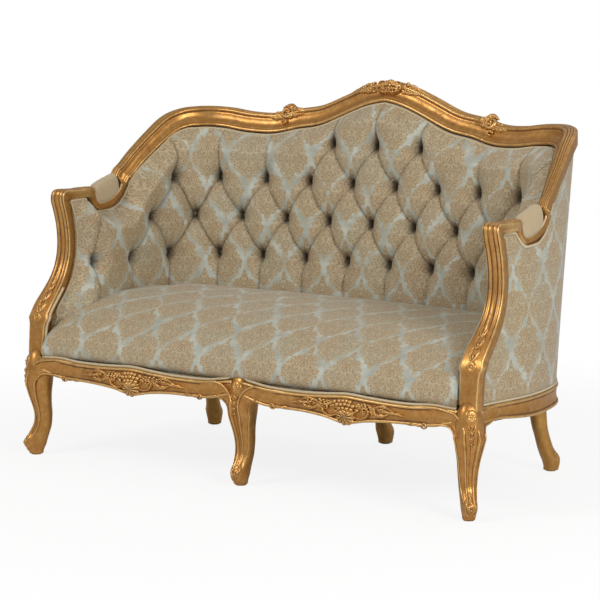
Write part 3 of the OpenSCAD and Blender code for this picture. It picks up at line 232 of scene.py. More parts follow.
def mark_hollows(mesh):
    """Writes how hollow the surface is at each corner point, from -1 on an edge to 1 in a groove."""
    count = len(mesh.vertices)
    co = np.empty(count * 3)
    mesh.vertices.foreach_get("co", co)
    co = co.reshape(-1, 3)
    no = np.empty(count * 3)
    mesh.vertex_normals.foreach_get("vector", no)
    no = no.reshape(-1, 3)
    ends = np.empty(len(mesh.edges) * 2, int)
    mesh.edges.foreach_get("vertices", ends)
    a, b = ends[0::2], ends[1::2]
    d = co[b] - co[a]
    size = np.maximum(np.linalg.norm(d, axis=1), 1e-6)
    w = 1 / size

    def gathered(at_a, at_b):
        total = np.zeros(count)
        np.add.at(total, a, at_a)
        np.add.at(total, b, at_b)
        return total
    weight = np.maximum(gathered(w, w), 1e-9)
    bend = gathered(np.sum(d * no[a], axis=1) / size * w, -np.sum(d * no[b], axis=1) / size * w) / weight
    for _ in range(2):
        bend = 0.5 * bend + 0.5 * gathered(bend[b] * w, bend[a] * w) / weight
    layer = mesh.attributes.new("hollow", "FLOAT", "POINT")
    layer.data.foreach_set("value", np.clip(bend * HOLLOW_GAIN, -1, 1))


def loft(rings, uv=None, marks=None):
    """A closed bar through rings of points, in millimetres, each ring with as many points.
    uv holds the map's place for each point, and marks the numbers kept there."""
    rings = np.asarray(rings, float)
    m, n = rings.shape[:2]
    bm = bmesh.new()
    bmesh.ops.create_grid(bm, x_segments=n, y_segments=m - 1, size=1)
    bm.verts.ensure_lookup_table()
    flat = (np.array([v.co[:2] for v in bm.verts]) + 1) / 2
    at = np.rint(flat[:, 1] * (m - 1)).astype(int), np.rint(flat[:, 0] * n).astype(int) % n
    if uv is not None:
        layer, places = bm.loops.layers.uv.verify(), uv[at]
        for face in bm.faces:
            for loop in face.loops:
                loop[layer].uv = places[loop.vert.index]
    for vert, co in zip(bm.verts, to_part(rings[at])):
        vert.co = co
    for name, table in (marks or {}).items():
        kept = bm.verts.layers.float.new(name)
        for vert, number in zip(bm.verts, table[at]):
            vert[kept] = number
    bmesh.ops.remove_doubles(bm, verts=bm.verts, dist=1e-6)
    bmesh.ops.holes_fill(bm, edges=[e for e in bm.edges if e.is_boundary], sides=0)
    bmesh.ops.recalc_face_normals(bm, faces=bm.faces)
    return bm


def join(*meshes):
    """Puts several bmeshes into the first."""
    first = meshes[0]
    for other in meshes[1:]:
        spare = bpy.data.meshes.new("spare")
        other.to_mesh(spare)
        other.free()
        first.from_mesh(spare)
        bpy.data.meshes.remove(spare)
    return first


def paired(bm):
    """A right-hand mesh joined with its left-hand copy."""
    return join(mirrored(bm), bm)


def mirrored(bm):
    """The left-hand copy of a right-hand mesh."""
    twin = bm.copy()
    for v in twin.verts:
        v.co.x = -v.co.x
    bmesh.ops.reverse_faces(twin, faces=twin.faces)
    return twin


def arc(cx, cy, r, start, end, steps):
    """Points of a round bead or hollow in a moulding's section, angles in degrees."""
    return [(cx + r * math.cos(math.radians(mix(start, end, i / steps))),
             cy + r * math.sin(math.radians(mix(start, end, i / steps)))) for i in range(steps + 1)]


def reeds(start, end, count, height):
    """Round reeds side by side along a straight face, standing to the left of start to end."""
    a, b = np.array(start, float), np.array(end, float)
    run = (b - a) / count
    side = np.array((-run[1], run[0])) / np.linalg.norm(run)
    return [tuple(a + run * (i + j / 6) + side * height * math.sin(math.pi * (j / 6)) ** 0.7)
            for i in range(count) for j in range(7)]


# Finishes
class Value:
    """A number that changes over a surface; sums on it add Math nodes."""

    def __init__(self, finish, socket):
        self.finish, self.socket = finish, socket

    def maths(self, operation, *others):
        sockets = dict(enumerate((self,) + others))
        return self.finish.node("ShaderNodeMath", {"operation": operation}, sockets)

    def swapped(self, operation, first):
        return self.finish.node("ShaderNodeMath", {"operation": operation}, {0: first, 1: self})

    def __add__(self, other):
        return self.maths("ADD", other)

    def __sub__(self, other):
        return self.maths("SUBTRACT", other)

    def __rsub__(self, other):
        return self.swapped("SUBTRACT", other)

    def __mul__(self, other):
        return self.maths("MULTIPLY", other)

    def __truediv__(self, other):
        return self.maths("DIVIDE", other)

    def __rtruediv__(self, other):
        return self.swapped("DIVIDE", other)

    __radd__ = __add__
    __rmul__ = __mul__

    def wave(self, pitch):
        return (self * (2 * math.pi / pitch)).maths("SINE")

    def lines(self, count, width, sharp):
        """Thin lines where the number, times count, passes halfway between whole numbers."""
        return ((self * count).maths("FRACT") - 0.5).maths("ABSOLUTE").between(width, sharp)

    def between(self, low, high):
        """0 up to low, 1 from high on, and a smooth rise between; high may be the lower one."""
        sockets = {0: self, 1: low, 2: high, 3: 0.0, 4: 1.0}
        return self.finish.node("ShaderNodeMapRange", {"interpolation_type": "SMOOTHSTEP"}, sockets)


class Finish:
    """A material, with one method that adds nodes to it."""

    def __init__(self, name, **sockets):
        self.material = bpy.data.materials.new(name)
        self.material.use_nodes = True
        self.tree = self.material.node_tree
        self.surface = self.tree.nodes["Principled BSDF"]
        for socket, value in sockets.items():
            self.surface.inputs[socket.replace("_", " ")].default_value = value

    def feed(self, socket, value):
        if isinstance(value, Value):
            self.tree.links.new(value.socket, socket)
        else:
            socket.default_value = value

    def node(self, kind, settings=None, sockets=None, output=0):
        made = self.tree.nodes.new(kind)
        for name, value in (settings or {}).items():
            setattr(made, name, value)
        for name, value in (sockets or {}).items():
            self.feed(made.inputs[name], value)
        return Value(self, made.outputs[output])

    def show(self, **sockets):
        for name, value in sockets.items():
            self.feed(self.surface.inputs[name.replace("_", " ")], value)
        return self.material

    def object_place(self):
        return self.node("ShaderNodeTexCoord", output="Object")

    def cloth_place(self):
        return self.node("ShaderNodeTexCoord", output="UV")

    def noise(self, place, scale, detail=2.0, roughness=0.5):
        return self.node("ShaderNodeTexNoise", None,
                         {"Vector": place, "Scale": scale, "Detail": detail, "Roughness": roughness})

    def stretched(self, place, x, y, z):
        return self.node("ShaderNodeVectorMath", {"operation": "MULTIPLY"}, {0: place, 1: (x, y, z)})

    def axes(self, place):
        made = self.node("ShaderNodeSeparateXYZ", None, {0: place})
        outs = made.socket.node.outputs
        return [Value(self, outs[i]) for i in range(3)]

    def point(self, x, y, z=0.0):
        return self.node("ShaderNodeCombineXYZ", None, {0: x, 1: y, 2: z})

    def tint(self, a, b, share):
        return self.node("ShaderNodeMix", {"data_type": "RGBA"}, {0: share, 6: a, 7: b}, 2)

    def bump(self, height, distance, strength):
        sockets = {"Strength": strength, "Distance": distance, "Height": height}
        return self.node("ShaderNodeBump", None, sockets)

    def written(self, name):
        return self.node("ShaderNodeAttribute", {"attribute_name": name}, None, "Fac")


def colour(red, green, blue):
    """A colour as seen on a screen, from 0 to 255, for a shader socket."""
    shares = (v / 255 for v in (red, green, blue))
    return (*(v / 12.92 if v <= 0.04045 else ((v + 0.055) / 1.055) ** 2.4 for v in shares), 1.0)


def gilding(name, leaf, bright, shade, wear):
    """Gold leaf over brown size: a dark brown lies in the hollows, partly dirt and partly painted shade, and
    the edges carry a painted highlight of paler gold.
    """
    f = Finish(name, IOR=1.5)
    place = f.object_place()
    hollow = f.written("hollow")
    patches, fine, broad = f.noise(place, 30, 3), f.noise(place, 260, 3, 0.6), f.noise(place, 75, 3)
    # Dark brown in the hollows: partly dirt, partly painted shade that makes the grooves read darker than
    # the lamps make them.
    hollow_dirt_and_shade = (hollow + (patches - 0.5) * 0.45 + (fine - 0.5) * 0.25).between(0.06, 0.52)
    # Painted highlight: the edges are tinted towards the paler gold.
    painted_edge_highlight = (0.0 - hollow + (fine - 0.5) * 0.4).between(0.15, 0.8)
    worn = (patches + (broad - 0.5) * 0.6).between(0.56, 0.78) * wear
    base = f.tint(colour(*leaf), colour(*bright), (broad - 0.5).between(-0.1, 0.25) * 0.25 + painted_edge_highlight * 0.75)
    base = f.tint(base, colour(*shade), worn)
    base = f.tint(base, colour(70, 38, 16), hollow_dirt_and_shade * 0.92)
    return f.show(Base_Color=base, Metallic=0.8 - hollow_dirt_and_shade * 0.65 - worn * 0.25,
                  Roughness=0.30 + hollow_dirt_and_shade * 0.35 + fine * 0.14,
                  Normal=f.bump(fine * 0.5 + broad * 0.8, 0.0008, 0.45))


DAMASK_W, DAMASK_H = 0.136, 0.205


def damask(name):
    """Half-dropped damask: beige foliage medallions with ragged edges on mottled pale blue-grey satin."""
    f = Finish(name, Sheen_Weight=0.25, Sheen_Roughness=0.4)
    x, y, _ = f.axes(f.cloth_place())
    repeats = (x, DAMASK_W), (y, DAMASK_H)
    (own_x, own_y), (next_x, next_y) = (
        [(place + shift * size).maths("WRAP", size / 2, -size / 2) for place, size in repeats]
        for shift in (0.0, 0.5))

    def ogee(px, py):
        """Above 0 inside the pointed oval round the middle of a repeat."""
        arch = (py * (2 * math.pi / DAMASK_H)).maths("COSINE") + 1.0
        return arch * 0.25 - px.maths("ABSOLUTE") / DAMASK_W
    own, other = ogee(own_x, own_y), ogee(next_x, next_y)
    side = own.between(-0.003, 0.003)
    across, up = (next_x + (own_x - next_x) * side).maths("ABSOLUTE"), next_y + (own_y - next_y) * side
    leafy, lobes = f.noise(f.point(across, up), 60, 1.5, 0.5), f.noise(f.point(across + 3.0, up), 34, 1, 0.4)
    ragged = f.noise(f.point(across + 7.0, up * 0.6), 140, 2, 0.6)
    wander = f.noise(f.point(x, y, 5.0), 11, 2)
    inside = own.maths("MAXIMUM", other) * 6.5 - 0.25
    inside = inside + (lobes - 0.5) * 1.9 + (ragged - 0.5) * 2.0 + (wander - 0.5) * 2.4
    medallion = inside.between(-0.02, 0.06)
    scrolls = leafy.lines(7, 0.22, 0.08)
    vein = lobes.lines(8, 0.17, 0.06)
    rim = (inside - 0.18).maths("ABSOLUTE").between(0.10, 0.03)
    drawn = ((scrolls.maths("MAXIMUM", vein * 0.9)).maths("MAXIMUM", rim * 0.7)) * medallion
    buds = lobes.lines(14, 0.14, 0.06) * (1.0 - medallion)
    mottle, tone = f.noise(f.point(x, y), 22, 3), f.noise(f.point(x, y, 2.0), 8, 2)
    ground = f.tint(colour(146, 150, 140), colour(180, 184, 174), mottle.between(0.30, 0.70))
    ground = f.tint(ground, colour(170, 162, 136), buds * 0.75)
    flowers = f.tint(colour(145, 125, 94), colour(155, 124, 90), lobes.between(0.56, 0.68) * 0.6)
    flowers = f.tint(flowers, colour(141, 133, 109), tone.between(0.46, 0.66) * 0.7)
    base = f.tint(ground, flowers, medallion)
    base = f.tint(base, colour(200, 186, 154), drawn * 0.48)
    ribs = y.wave(0.0016) * 0.12 + x.wave(0.0011) * 0.08
    relief = medallion * 0.6 + drawn * 0.5 + ribs + f.noise(f.point(x, y), 900, 2) * 0.3
    # Painted shade: the crease attribute tints the cloth towards deep brown in its pleats, pits and dents
    # and over the buttons, and roughens it there.
    crease = f.written("crease")
    base = f.tint(base, colour(44, 34, 22), crease)
    return f.show(Base_Color=base, Roughness=0.44 + medallion * 0.24 - drawn * 0.1 + crease * 0.2,
                  Normal=f.bump(relief, 0.00045, 0.7))


def woven(name, plain, light, pitch, depth=0.0004, roughness=0.75, sheen=0.2):
    """Plain cloth whose threads cross at pitch, in metres, read from where the cloth lies."""
    f = Finish(name, Sheen_Weight=sheen)
    x, y, z = f.axes(f.object_place())
    warp = (x + z * 0.6).wave(pitch)
    weft = (y * 0.8 - z).wave(pitch)
    slub, broad = f.noise(f.point(x, y, z), 260, 3), f.noise(f.point(x, y, z), 9, 2)
    streaks = (warp * weft * 0.25 + slub * 0.6 + broad * 0.4).between(0.2, 0.85)
    base = f.tint(colour(*plain), colour(*light), streaks)
    return f.show(Base_Color=base, Roughness=roughness + slub * 0.1,
                  Normal=f.bump(warp * weft * 0.5 + slub, depth, 0.6))


def braid(name):
    """Flat gimp: two scrolling cords, read from its own length and width in metres."""
    f = Finish(name, Sheen_Weight=0.3)
    along_it, across_it, _ = f.axes(f.cloth_place())
    swing = along_it.wave(0.0075) * 0.0016
    cord_a, cord_b = ((across_it + way).maths("ABSOLUTE").between(0.0016, 0.0004)
                      for way in (swing * -1.0, swing))
    cord = cord_a.maths("MAXIMUM", cord_b)
    fibre = f.noise(f.point(along_it, across_it), 1500, 2)
    base = f.tint(colour(158, 134, 94), colour(214, 198, 162), cord * 0.8 + fibre * 0.25)
    return f.show(Base_Color=base, Roughness=0.6 + fibre * 0.15,
                  Normal=f.bump(cord + fibre * 0.4, 0.0012, 0.8))


def raw_wood(name):
    """Unfinished beech with flecks and a faint grain."""
    f = Finish(name)
    place = f.object_place()
    grain = f.noise(f.stretched(place, 40, 40, 5), 1.5, 4, 0.6)
    fleck = f.noise(f.stretched(place, 300, 300, 60), 1.0, 2).between(0.62, 0.7)
    base = f.tint(colour(196, 160, 118), colour(166, 124, 82), grain.between(0.35, 0.7))
    base = f.tint(base, colour(140, 98, 62), fleck * 0.5)
    return f.show(Base_Color=base, Roughness=0.62 + grain * 0.15,
                  Normal=f.bump(grain + fleck * 0.4, 0.0006, 0.5))


def plain_steel(name):
    """Drawn wire and screws with a light oily film."""
    f = Finish(name)
    film = f.noise(f.object_place(), 120, 3)
    base = f.tint(colour(150, 152, 155), colour(104, 100, 96), film.between(0.45, 0.7))
    return f.show(Base_Color=base, Metallic=0.95 - film * 0.1, Roughness=0.3 + film * 0.25,
                  Normal=f.bump(film, 0.0002, 0.4))


# Gilding colours: leaf, the paler gold of the painted edge highlight, the darker tone of worn patches, then
# the share of wear.
GILT = gilding("carved_gilding", (178, 127, 65), (228, 193, 130), (128, 77, 37), 0.52)
PALE_GILT = gilding("plain_gilding", (186, 138, 72), (226, 190, 124), (146, 96, 48), 0.5)
DAMASK = damask("ogee_damask")
ARM_CLOTH = woven("plain_arm_cloth", (166, 145, 111), (187, 170, 138), 0.0016)
GIMP = braid("gimp_braid")
BEECH = raw_wood("unfinished_beech")
STEEL = plain_steel("spring_steel")
JUTE = woven("jute_hessian", (150, 116, 74), (184, 152, 106), 0.0032, 0.001, 0.85, 0.1)
LINING = woven("black_dust_cloth", (24, 24, 26), (40, 40, 43), 0.0014, 0.0003, 0.9, 0.1)


# Show wood: rails swept along the wall
def hollow_face(start, end, depth, steps=8):
    """A cove cut into the straight face from start to end."""
    a, b = np.array(start, float), np.array(end, float)
    run = b - a
    into = np.array((-run[1], run[0])) / np.linalg.norm(run)
    return [tuple(a + run * i / steps + into * depth * math.sin(math.pi * i / steps))
            for i in range(steps + 1)]


TOP_SECTION = (
    [(0, -38), (0, -20), (0, -6)] + arc(-4, -4.5, 4, 0, 80, 4)
    + reeds((-5, -0.6), (-27, -0.6), 3, -2.4) + [(-27.6, -2.5)]
    + arc(-32.5, -6.3, 5.6, 85, 235, 8) + [(-36.6, -13)]
    + hollow_face((-37.4, -13.6), (-53, -41.5), 4.5, 10) + [(-53.4, -43.6)]
    + arc(-56.4, -48.8, 5.4, 105, 290, 9) + [(-50, -54.6), (-44, -51), (-30, -43), (-15, -38)]
)


def top_rail(start, end, rings, straight_from=None):
    """A crest or wing rail. From straight_from on it turns to lie in line with the arm."""
    k = np.linspace(start, end, rings)
    straight = np.zeros(rings)
    if straight_from is not None:
        straight = np.clip((k - straight_from) / (end - straight_from), 0, 1)
    p, out, up = crest_axes(k, straight)
    w, h = width_share(k)[:, None, None], face_share(k)[:, None, None]
    section = np.array(TOP_SECTION)
    across, high = out[:, None] * section[None, :, :1] * w, up[:, None] * section[None, :, 1:] * h
    return loft(p[:, None] + across + high)


STUMP_RISE = ARM_H - ARM_STEP - RAIL_TOP
STUMP_FRONT = [-0.005, -0.002, 0.004, 0.012, 0.03, 0.082, 0.15, 0.212, 0.252, 0.275, 0.283, 0.28, 0.268,
               0.248, 0.226]
STUMP_DEEP = [1.3, 1.3, 1.3, 1.25, 1.1, 1, 0.95, 0.95, 0.95, 0.95, 0.95, 0.95, 0.95, 0.98, 1]
STUMP_WIDE = [1.08, 1.08, 1.1, 1.14, 1.28, 1.3, 1.2, 1.1, 1.04, 1.02, 1, 1, 1, 1.02, 1.06]
EAR_Z, EAR_OUT, EAR_REACH = 389.0, 5.0, 15.0
OVER_FROM, REEDS_FROM, STEP_END_X = 704.0, 425.0, 711.0
# Over the arm's step: the band's upper face y and z, its underside y and z, and how high its reeds stand.
OVER_ARM = np.array([
    (100.5, 716, 124, 708, 4.0), (99.5, 726, 126, 711, 3.8), (101.5, 735, 128, 714, 3.6),
    (107, 741, 130, 716, 3.4), (116, 743.5, 132, 717, 3.2), (128, 743, 138, 717, 3),
    (150, 741.5, 152, 717, 2.8), (180, 740.5, 180, 717, 2.6), (210, 740.5, 208, 717, 2.4),
    (232, 742, 226, 712, 2)])


def stump_front(z):
    return STUMP_RISE * along(STUMP_FRONT, (z - RAIL_TOP) / STUMP_RISE)


def stump_back(z):
    lean = (stump_front(np.minimum(z + 5, ARM_H - ARM_STEP)) - stump_front(np.maximum(z - 5, RAIL_TOP))) / 10
    deep = STUMP_DEPTH * along(STUMP_DEEP, (z - RAIL_TOP) / STUMP_RISE)
    return stump_front(z) + deep * np.sqrt(1 + lean ** 2)


def stump_half_w(z):
    ear = EAR_OUT * np.maximum(0, 1 - abs(z - EAR_Z) / EAR_REACH) ** 1.3
    return STUMP_HALF_W * along(STUMP_WIDE, (z - RAIL_TOP) / STUMP_RISE) + ear


def band_section():
    """A band's face as half-width share, depth share and stand: three reeds between two fillets."""
    face = [(-1, 1, 0), (-1, 0.55, 0), (-1, 0.16, 0), (-0.97, 0.04, 0), (-0.9, 0, 0.4), (-0.84, 0, 0)]
    for i, (a, b) in enumerate(((-0.82, -0.34), (-0.34, 0.34), (0.34, 0.82))):
        for j in range(9):
            t = j / 8
            face.append((mix(a, b, t), 0, (0.8 if i == 1 else 1.0) * math.sin(math.pi * t) ** 0.8))
    return face + [(0.84, 0, 0), (0.9, 0, 0.4), (0.97, 0.04, 0), (1, 0.16, 0), (1, 0.55, 0), (1, 1, 0)]


def band(x, half_w, fronts, backs, reed):
    """A flat bar across x. Its face runs through fronts and its back through backs, as (y, z) places."""
    fronts, backs = np.asarray(fronts, float), np.asarray(backs, float)
    half_w, reed, x, _ = aligned(half_w, reed, x, fronts[:, 0])
    section = np.array(band_section())
    out = unit(fronts - backs)
    yz = (fronts[:, None] + (backs - fronts)[:, None] * section[None, :, 1:2]
          + out[:, None] * section[None, :, 2:] * reed[:, None, None])
    return loft(stack(x[:, None] + half_w[:, None] * section[None, :, 0], yz[..., 0], yz[..., 1]))


def arm_stump():
    """Stump whose reeds run up its face and back over the arm's step."""
    z = np.linspace(RAIL_TOP + 0.5, OVER_FROM, 76)
    fronts, backs = stack(stump_front(z), z), stack(stump_back(z), z)
    over, inner = OVER_ARM[:, :2], OVER_ARM[:, 2:4]
    half = np.concatenate([stump_half_w(z), np.linspace(24.5, 21.5, len(over))])
    x = np.concatenate([np.full(len(z), STUMP_X), np.linspace(STUMP_X, STEP_END_X, len(over))])
    reed = np.concatenate([4.2 * np.clip((z - REEDS_FROM) / 60, 0, 1), OVER_ARM[:, 4]])
    return band(x, half, np.concatenate([fronts, over]), np.concatenate([backs, inner]), reed)


STEP_BACK, DIP_LOW, ARM_MIDDLE = 237.1, 266.1, TOP_HALF_W + 4 - ARM_RAIL_W / 2
DIP_UPPER = [(STEP_BACK, 2), (STEP_BACK + 1, 20), (STEP_BACK + 12, 41), (DIP_LOW + 2, 46),
             (DIP_LOW + 40, 39), (DIP_LOW + 79, 19), (DIP_LOW + 92, -3)]
DIP_LOWER = [(STEP_BACK - 22, 25), (STEP_BACK - 11, 39), (DIP_LOW - 12, 64), (DIP_LOW + 14, 65),
             (DIP_LOW + 49, 60), (DIP_LOW + 98, 29)]


def arm_dip():
    """The band that dips under the arm pad and meets the wing rail."""
    t = np.linspace(0, 1, 40)
    up = along(DIP_UPPER, t) * (1, -1) + (0, ARM_H)
    low = along(DIP_LOWER, t) * (1, -1) + (0, ARM_H)
    p, out, above = crest_axes(np.array([WING_END]), np.array([1.0]))
    top = p[0][1:]
    foot = (p + out * -0.87 * ARM_RAIL_W + above * -CREST_FACE * 0.74)[0][1:]
    return band(ARM_MIDDLE, ARM_RAIL_W / 2, list(up) + [top + (-3, 0)], list(low) + [foot], 0.8)


def rail_section(height):
    """Seat rail's face from its lower edge up, outwards and upwards: bead, hollow, bead and lip."""
    low = arc(-3.2, 4.2, 4.2, -85, 75, 7)
    high = arc(-3.6, height - 5.2, 4.0, -75, 85, 7)
    return low + hollow_face((-2.6, 9.2), (-2.6, height - 10.2), 2.0, 8) + high


def seat_rail_rings(points, outs, lows, highs):
    """Rings of a seat rail: face along points, with its own lower and upper edges."""
    rings = []
    for p, out, low, high in zip(points, outs, lows, highs):
        ring = [(p + out * a, low + b) for a, b in rail_section(high - low)]
        lip, back = p - out * LIP_W, p - out * RAIL_TH
        ring += [(p - out * (LIP_W - 1), high), (lip, high - 1.5), (lip, RAIL_TOP),
                 (back, RAIL_TOP), (back, max(low, RAIL_LOW)), (lip, low)]
        rings.append([(q[0], q[1], z) for q, z in ring])
    return rings


SPAN_LOW = [0.32, -0.06, -0.12, -0.14, -0.28, -0.55, -0.28, -0.14, -0.08, -0.02, 0.36]
SPAN_HIGH = [1.07, 0.4, 0.25, 0.3, 0.6, 1, 0.75, 0.55, 0.55, 0.9, 0.7]
SPAN_BOW = [0.6, 0.75, 0.85, 0.95, 1.1, 1.2, 1.1, 0.95, 0.85, 0.75, 0.6]
SPAN_FROM, SPAN_TO = CENTRE_POST_W / 2, LEG_X - POST_W / 2


def span_low(g):
    return RAIL_LOW + (RAIL_TOP - RAIL_LOW) * along(SPAN_LOW, g)


def span_high(g):
    return RAIL_TOP + LIP_H * along(SPAN_HIGH, g)


def span_face(g):
    return FRONT_Y - PROUD * along(SPAN_BOW, g)


def front_rail():
    g = np.linspace(1, 0, 90)
    x = mix(SPAN_FROM - 12, SPAN_TO + 8, g)
    points = np.stack([x, span_face(g)], axis=1)
    return loft(seat_rail_rings(points, [np.array((0.0, -1.0))] * len(g), span_low(g), span_high(g)))


def wall_share_at(y):
    k = np.linspace(1, 0.5, 101)
    return float(np.interp(y, wall_raw(k, RAIL_TOP)[:, 1], k))


def side_low(f):
    """Lower edge of a side rail, from its rear joint at 0 to the front leg at 1."""
    return RAIL_LOW + LIP_H * along([0, 0, 0, 0, 0, 0, 0.1, 0.5, 0.9, 0.6], np.clip(f, 0, 1))


def side_rail():
    f = np.linspace(0, 1, 80)
    k = mix(REAR_JOINT, wall_share_at(FRONT_Y + POST_W), f)
    high = np.full(len(f), RAIL_TOP + LIP_H)
    return loft(seat_rail_rings(wall_raw(k, RAIL_TOP), wall_out(k, RAIL_TOP), side_low(f), high))


# Legs
LEG_HEIGHT = [0, 0.05, 0.11, 0.17, 0.26, 0.34, 0.43, 0.52, 0.62, 0.7, 0.78, 0.88, 1]
LEG_SWAY = [0.18, 0.2, 0.2, 0.17, 0.03, -0.07, -0.11, -0.11, -0.06, -0.02, 0.01, 0.03, 0.02]
LEG_DEPTH = [0.5, 0.6, 0.76, 0.8, 0.68, 0.62, 0.6, 0.62, 0.68, 0.76, 0.84, 0.95, 1]
LEG_WIDTH = [0.42, 0.46, 0.52, 0.54, 0.55, 0.57, 0.6, 0.64, 0.7, 0.77, 0.86, 0.95, 1]
REAR_SWAY = [1, 1.02, 1, 0.93, 0.76, 0.66, 0.57, 0.48, 0.42, 0.38, 0.33, 0.18, 0]
REAR_SIZE = [0.74, 0.8, 0.9, 0.95, 0.82, 0.78, 0.76, 0.78, 0.82, 0.86, 0.92, 0.98, 1]
SOLE_H, SOLE_R, KNEE_DEPTH, KNEE_W, LEG_ROUND = 3.0, 15.0, 78.0, 76.0, 2.5
REAR_W, REAR_KICK, REAR_KICK_CENTRE, REAR_TURN = 52, 73, 52, 65


def fine(heights, values, at):
    """Smooth value at a height, from a list kept at uneven heights."""
    n = len(heights) - 1
    shares = np.interp(at, heights, np.arange(n + 1) / n)
    return along(values, shares)


def rear_leg(centre):
    """A square rear leg that kicks back, turned to face out of the wall."""
    t = np.linspace(0, 1, 84)[:, None]
    kick = (REAR_KICK_CENTRE if centre else REAR_KICK) * np.array(REAR_SWAY)
    size, sway = fine(LEG_HEIGHT, REAR_W * np.array(REAR_SIZE), t), fine(LEG_HEIGHT, kick, t)
    c, q = round_about(96)
    r = squared(c, q, LEG_ROUND)
    bar = stack(size / 2 * c * r + sway, size / 2 * q * r, SOLE_H + (RAIL_LOW - SOLE_H) * t)
    foot = [stack(kick[0] + SOLE_R * k * c, SOLE_R * k * q, z) for k, z in ((0.93, 0.0), (1, 1.0), (1, 3.0))]
    rings = np.concatenate([foot, bar])
    x, y, _ = wall(REAR_JOINT, RAIL_TOP, RAIL_TH / 2)
    place = (0, LOW_DEPTH - RAIL_TH / 2, 90) if centre else (x, y, REAR_TURN)
    return loft(stack(*turned(*place, rings[..., 0], rings[..., 1]), rings[..., 2]))


# The shape that the padding fills
STUMP_TOP = ARM_H - ARM_STEP
PAD_LOW, BACK_HOLLOW, ARM_HOLLOW, PAD_TUCK = RAIL_TOP + 60, 50.0, 16.0, 4.0
CUSHION_Z = RAIL_TOP + 4 + 1.5 + 0.3 + 1.5 + 0.3
WING_LOW = (697.9, 382.8, 739.5)
DIP_LINE = along(DIP_LOWER, np.linspace(0, 1, 80))
UNDER_Y = np.concatenate([[0], DIP_LINE[:, 0], [WING_LOW[1]]])
UNDER_Z = np.concatenate([[STUMP_TOP], ARM_H - DIP_LINE[:, 1], [WING_LOW[2]]])
ARC_K = np.linspace(0, 1, 401)
ARC_U = lengths(wall(ARC_K, FIRST_ROW + ROW_H, PAD_DEPTH))
BUTTONS = ([(i + 0.5, 0) for i in range(-7, 7)] + [(i, 1) for i in range(-5, 6)]
           + [(i + 0.5, 2) for i in range(-5, 5)] + [(i, 3) for i in (-1, 0, 1)])


def reach_of(k):
    """Distance along the padding from the middle of the back."""
    return np.sign(k) * np.interp(abs(k), ARC_K, ARC_U)


def rail_under(k, part):
    """Underside of the top rails over share k."""
    a = abs(np.asarray(k, float))
    run = unit(crest_point(np.minimum(a + 0.006, WING_END)) - crest_point(a - 0.006))
    level = np.maximum(0.5, np.hypot(run[..., 0], run[..., 1]))
    high = crest_line_z(a) - part * CREST_FACE * face_share(a) / level
    deep, half = (ARM_RAIL_W / 2, ARM_RAIL_W / 2) if part == 1 else (CLOTH_IN + 3, CLOTH_IN + 1)
    y = wall(a, ARM_H, deep)[..., 1]
    low = np.min([np.interp(y + s * half, UNDER_Y, UNDER_Z) for s in np.linspace(-1, 1, 9)], axis=0)
    return mix(high, low, np.clip((a - WING_END + 0.05) / 0.035, 0, 1))


FRONT_Z = np.linspace(PAD_LOW - 60, ARM_H, 60)
WALL_K = np.linspace(1, 0.5, 201)


def front_share(z, depth):
    """Share of the wall where it meets the back of an arm stump."""
    found = []
    for q in FRONT_Z:
        y = wall(WALL_K, q, depth)[:, 1]
        found.append(np.interp(stump_back(min(q, STUMP_TOP)) + CLEAR, y, WALL_K))
    return np.interp(z, FRONT_Z, found)


ROW_LEAN, TOP_END, SIDE_END = 0.84, 2.5, 6.5


def puff(p, q):
    """Swell between pleats, 0 on a pleat and 1 on a crown, and the distance to the nearest pleat."""
    a, r = abs(p), np.maximum(q, 0)
    crown_edge = 1 + (3 - np.clip(r, 2, 3)) / 2
    side_edge = 4.5 + (2 - np.minimum(r, 2)) / 2
    c = np.minimum(r, np.where(a < crown_edge + 1e-4, 3, 2))
    one, two = a + c / 2 + 0.5, a - c / 2 + 0.5
    lean = np.where(c < r + 1e-9, ROW_LEAN, 1.0) * np.where(q < 0, 1 / ROW_LEAN, 1)
    swell = np.sqrt(abs(np.sin(np.pi * one) * np.sin(np.pi * two)))
    gap = np.minimum(abs(one - np.rint(one)), abs(two - np.rint(two))) * PITCH * np.minimum(lean, 1)
    side = (a - side_edge) / (SIDE_END - side_edge)
    swell = np.where(a > side_edge, abs(np.sin(np.pi * side)), swell)
    gap = np.where(a > side_edge, np.minimum(abs(side), abs(1 - side)) * (SIDE_END - side_edge) * PITCH, gap)
    top = (r > 2) & (a > crown_edge) & (a < TOP_END)
    part = (a - crown_edge) / (TOP_END - crown_edge)
    swell = np.where(top, abs(np.sin(np.pi * part)), swell)
    gap = np.where(top, np.minimum(abs(part), abs(1 - part)) * (TOP_END - crown_edge) * PITCH, gap)
    past = a - SIDE_END
    swell = np.where(past > 0, 0.6 * np.sin(np.pi / 2 * np.clip(past * 4, 0, 1)), swell)
    return swell, np.where(past > 0, past * PITCH, gap)


# How far a button's pull reaches sideways, above it and below it: the wide dent, then the pit.
DENT, PIT = (30.0, 40.0, 27.0), (8.5, 21.0, 13.0)
PIT_DEPTH, PUCKER_R, PUCKER_W, PUCKER_LIFT = 20.0, 21.0, 11.0, 1.3
PLEAT_DEPTH, PLEAT_W, VALLEY_DEPTH, VALLEY_W = 4.5, 3.2, 2.5, 9.0
ROLL_TOP, ROLL_FRONT, BLEND_FRONT = 60.0, 90.0, 110.0


def pull(du, dz, reach):
    """Share of a button's pull at a distance from it."""
    return np.exp(-(du / reach[0]) ** 2 - (dz / np.where(dz > 0, reach[1], reach[2])) ** 2)


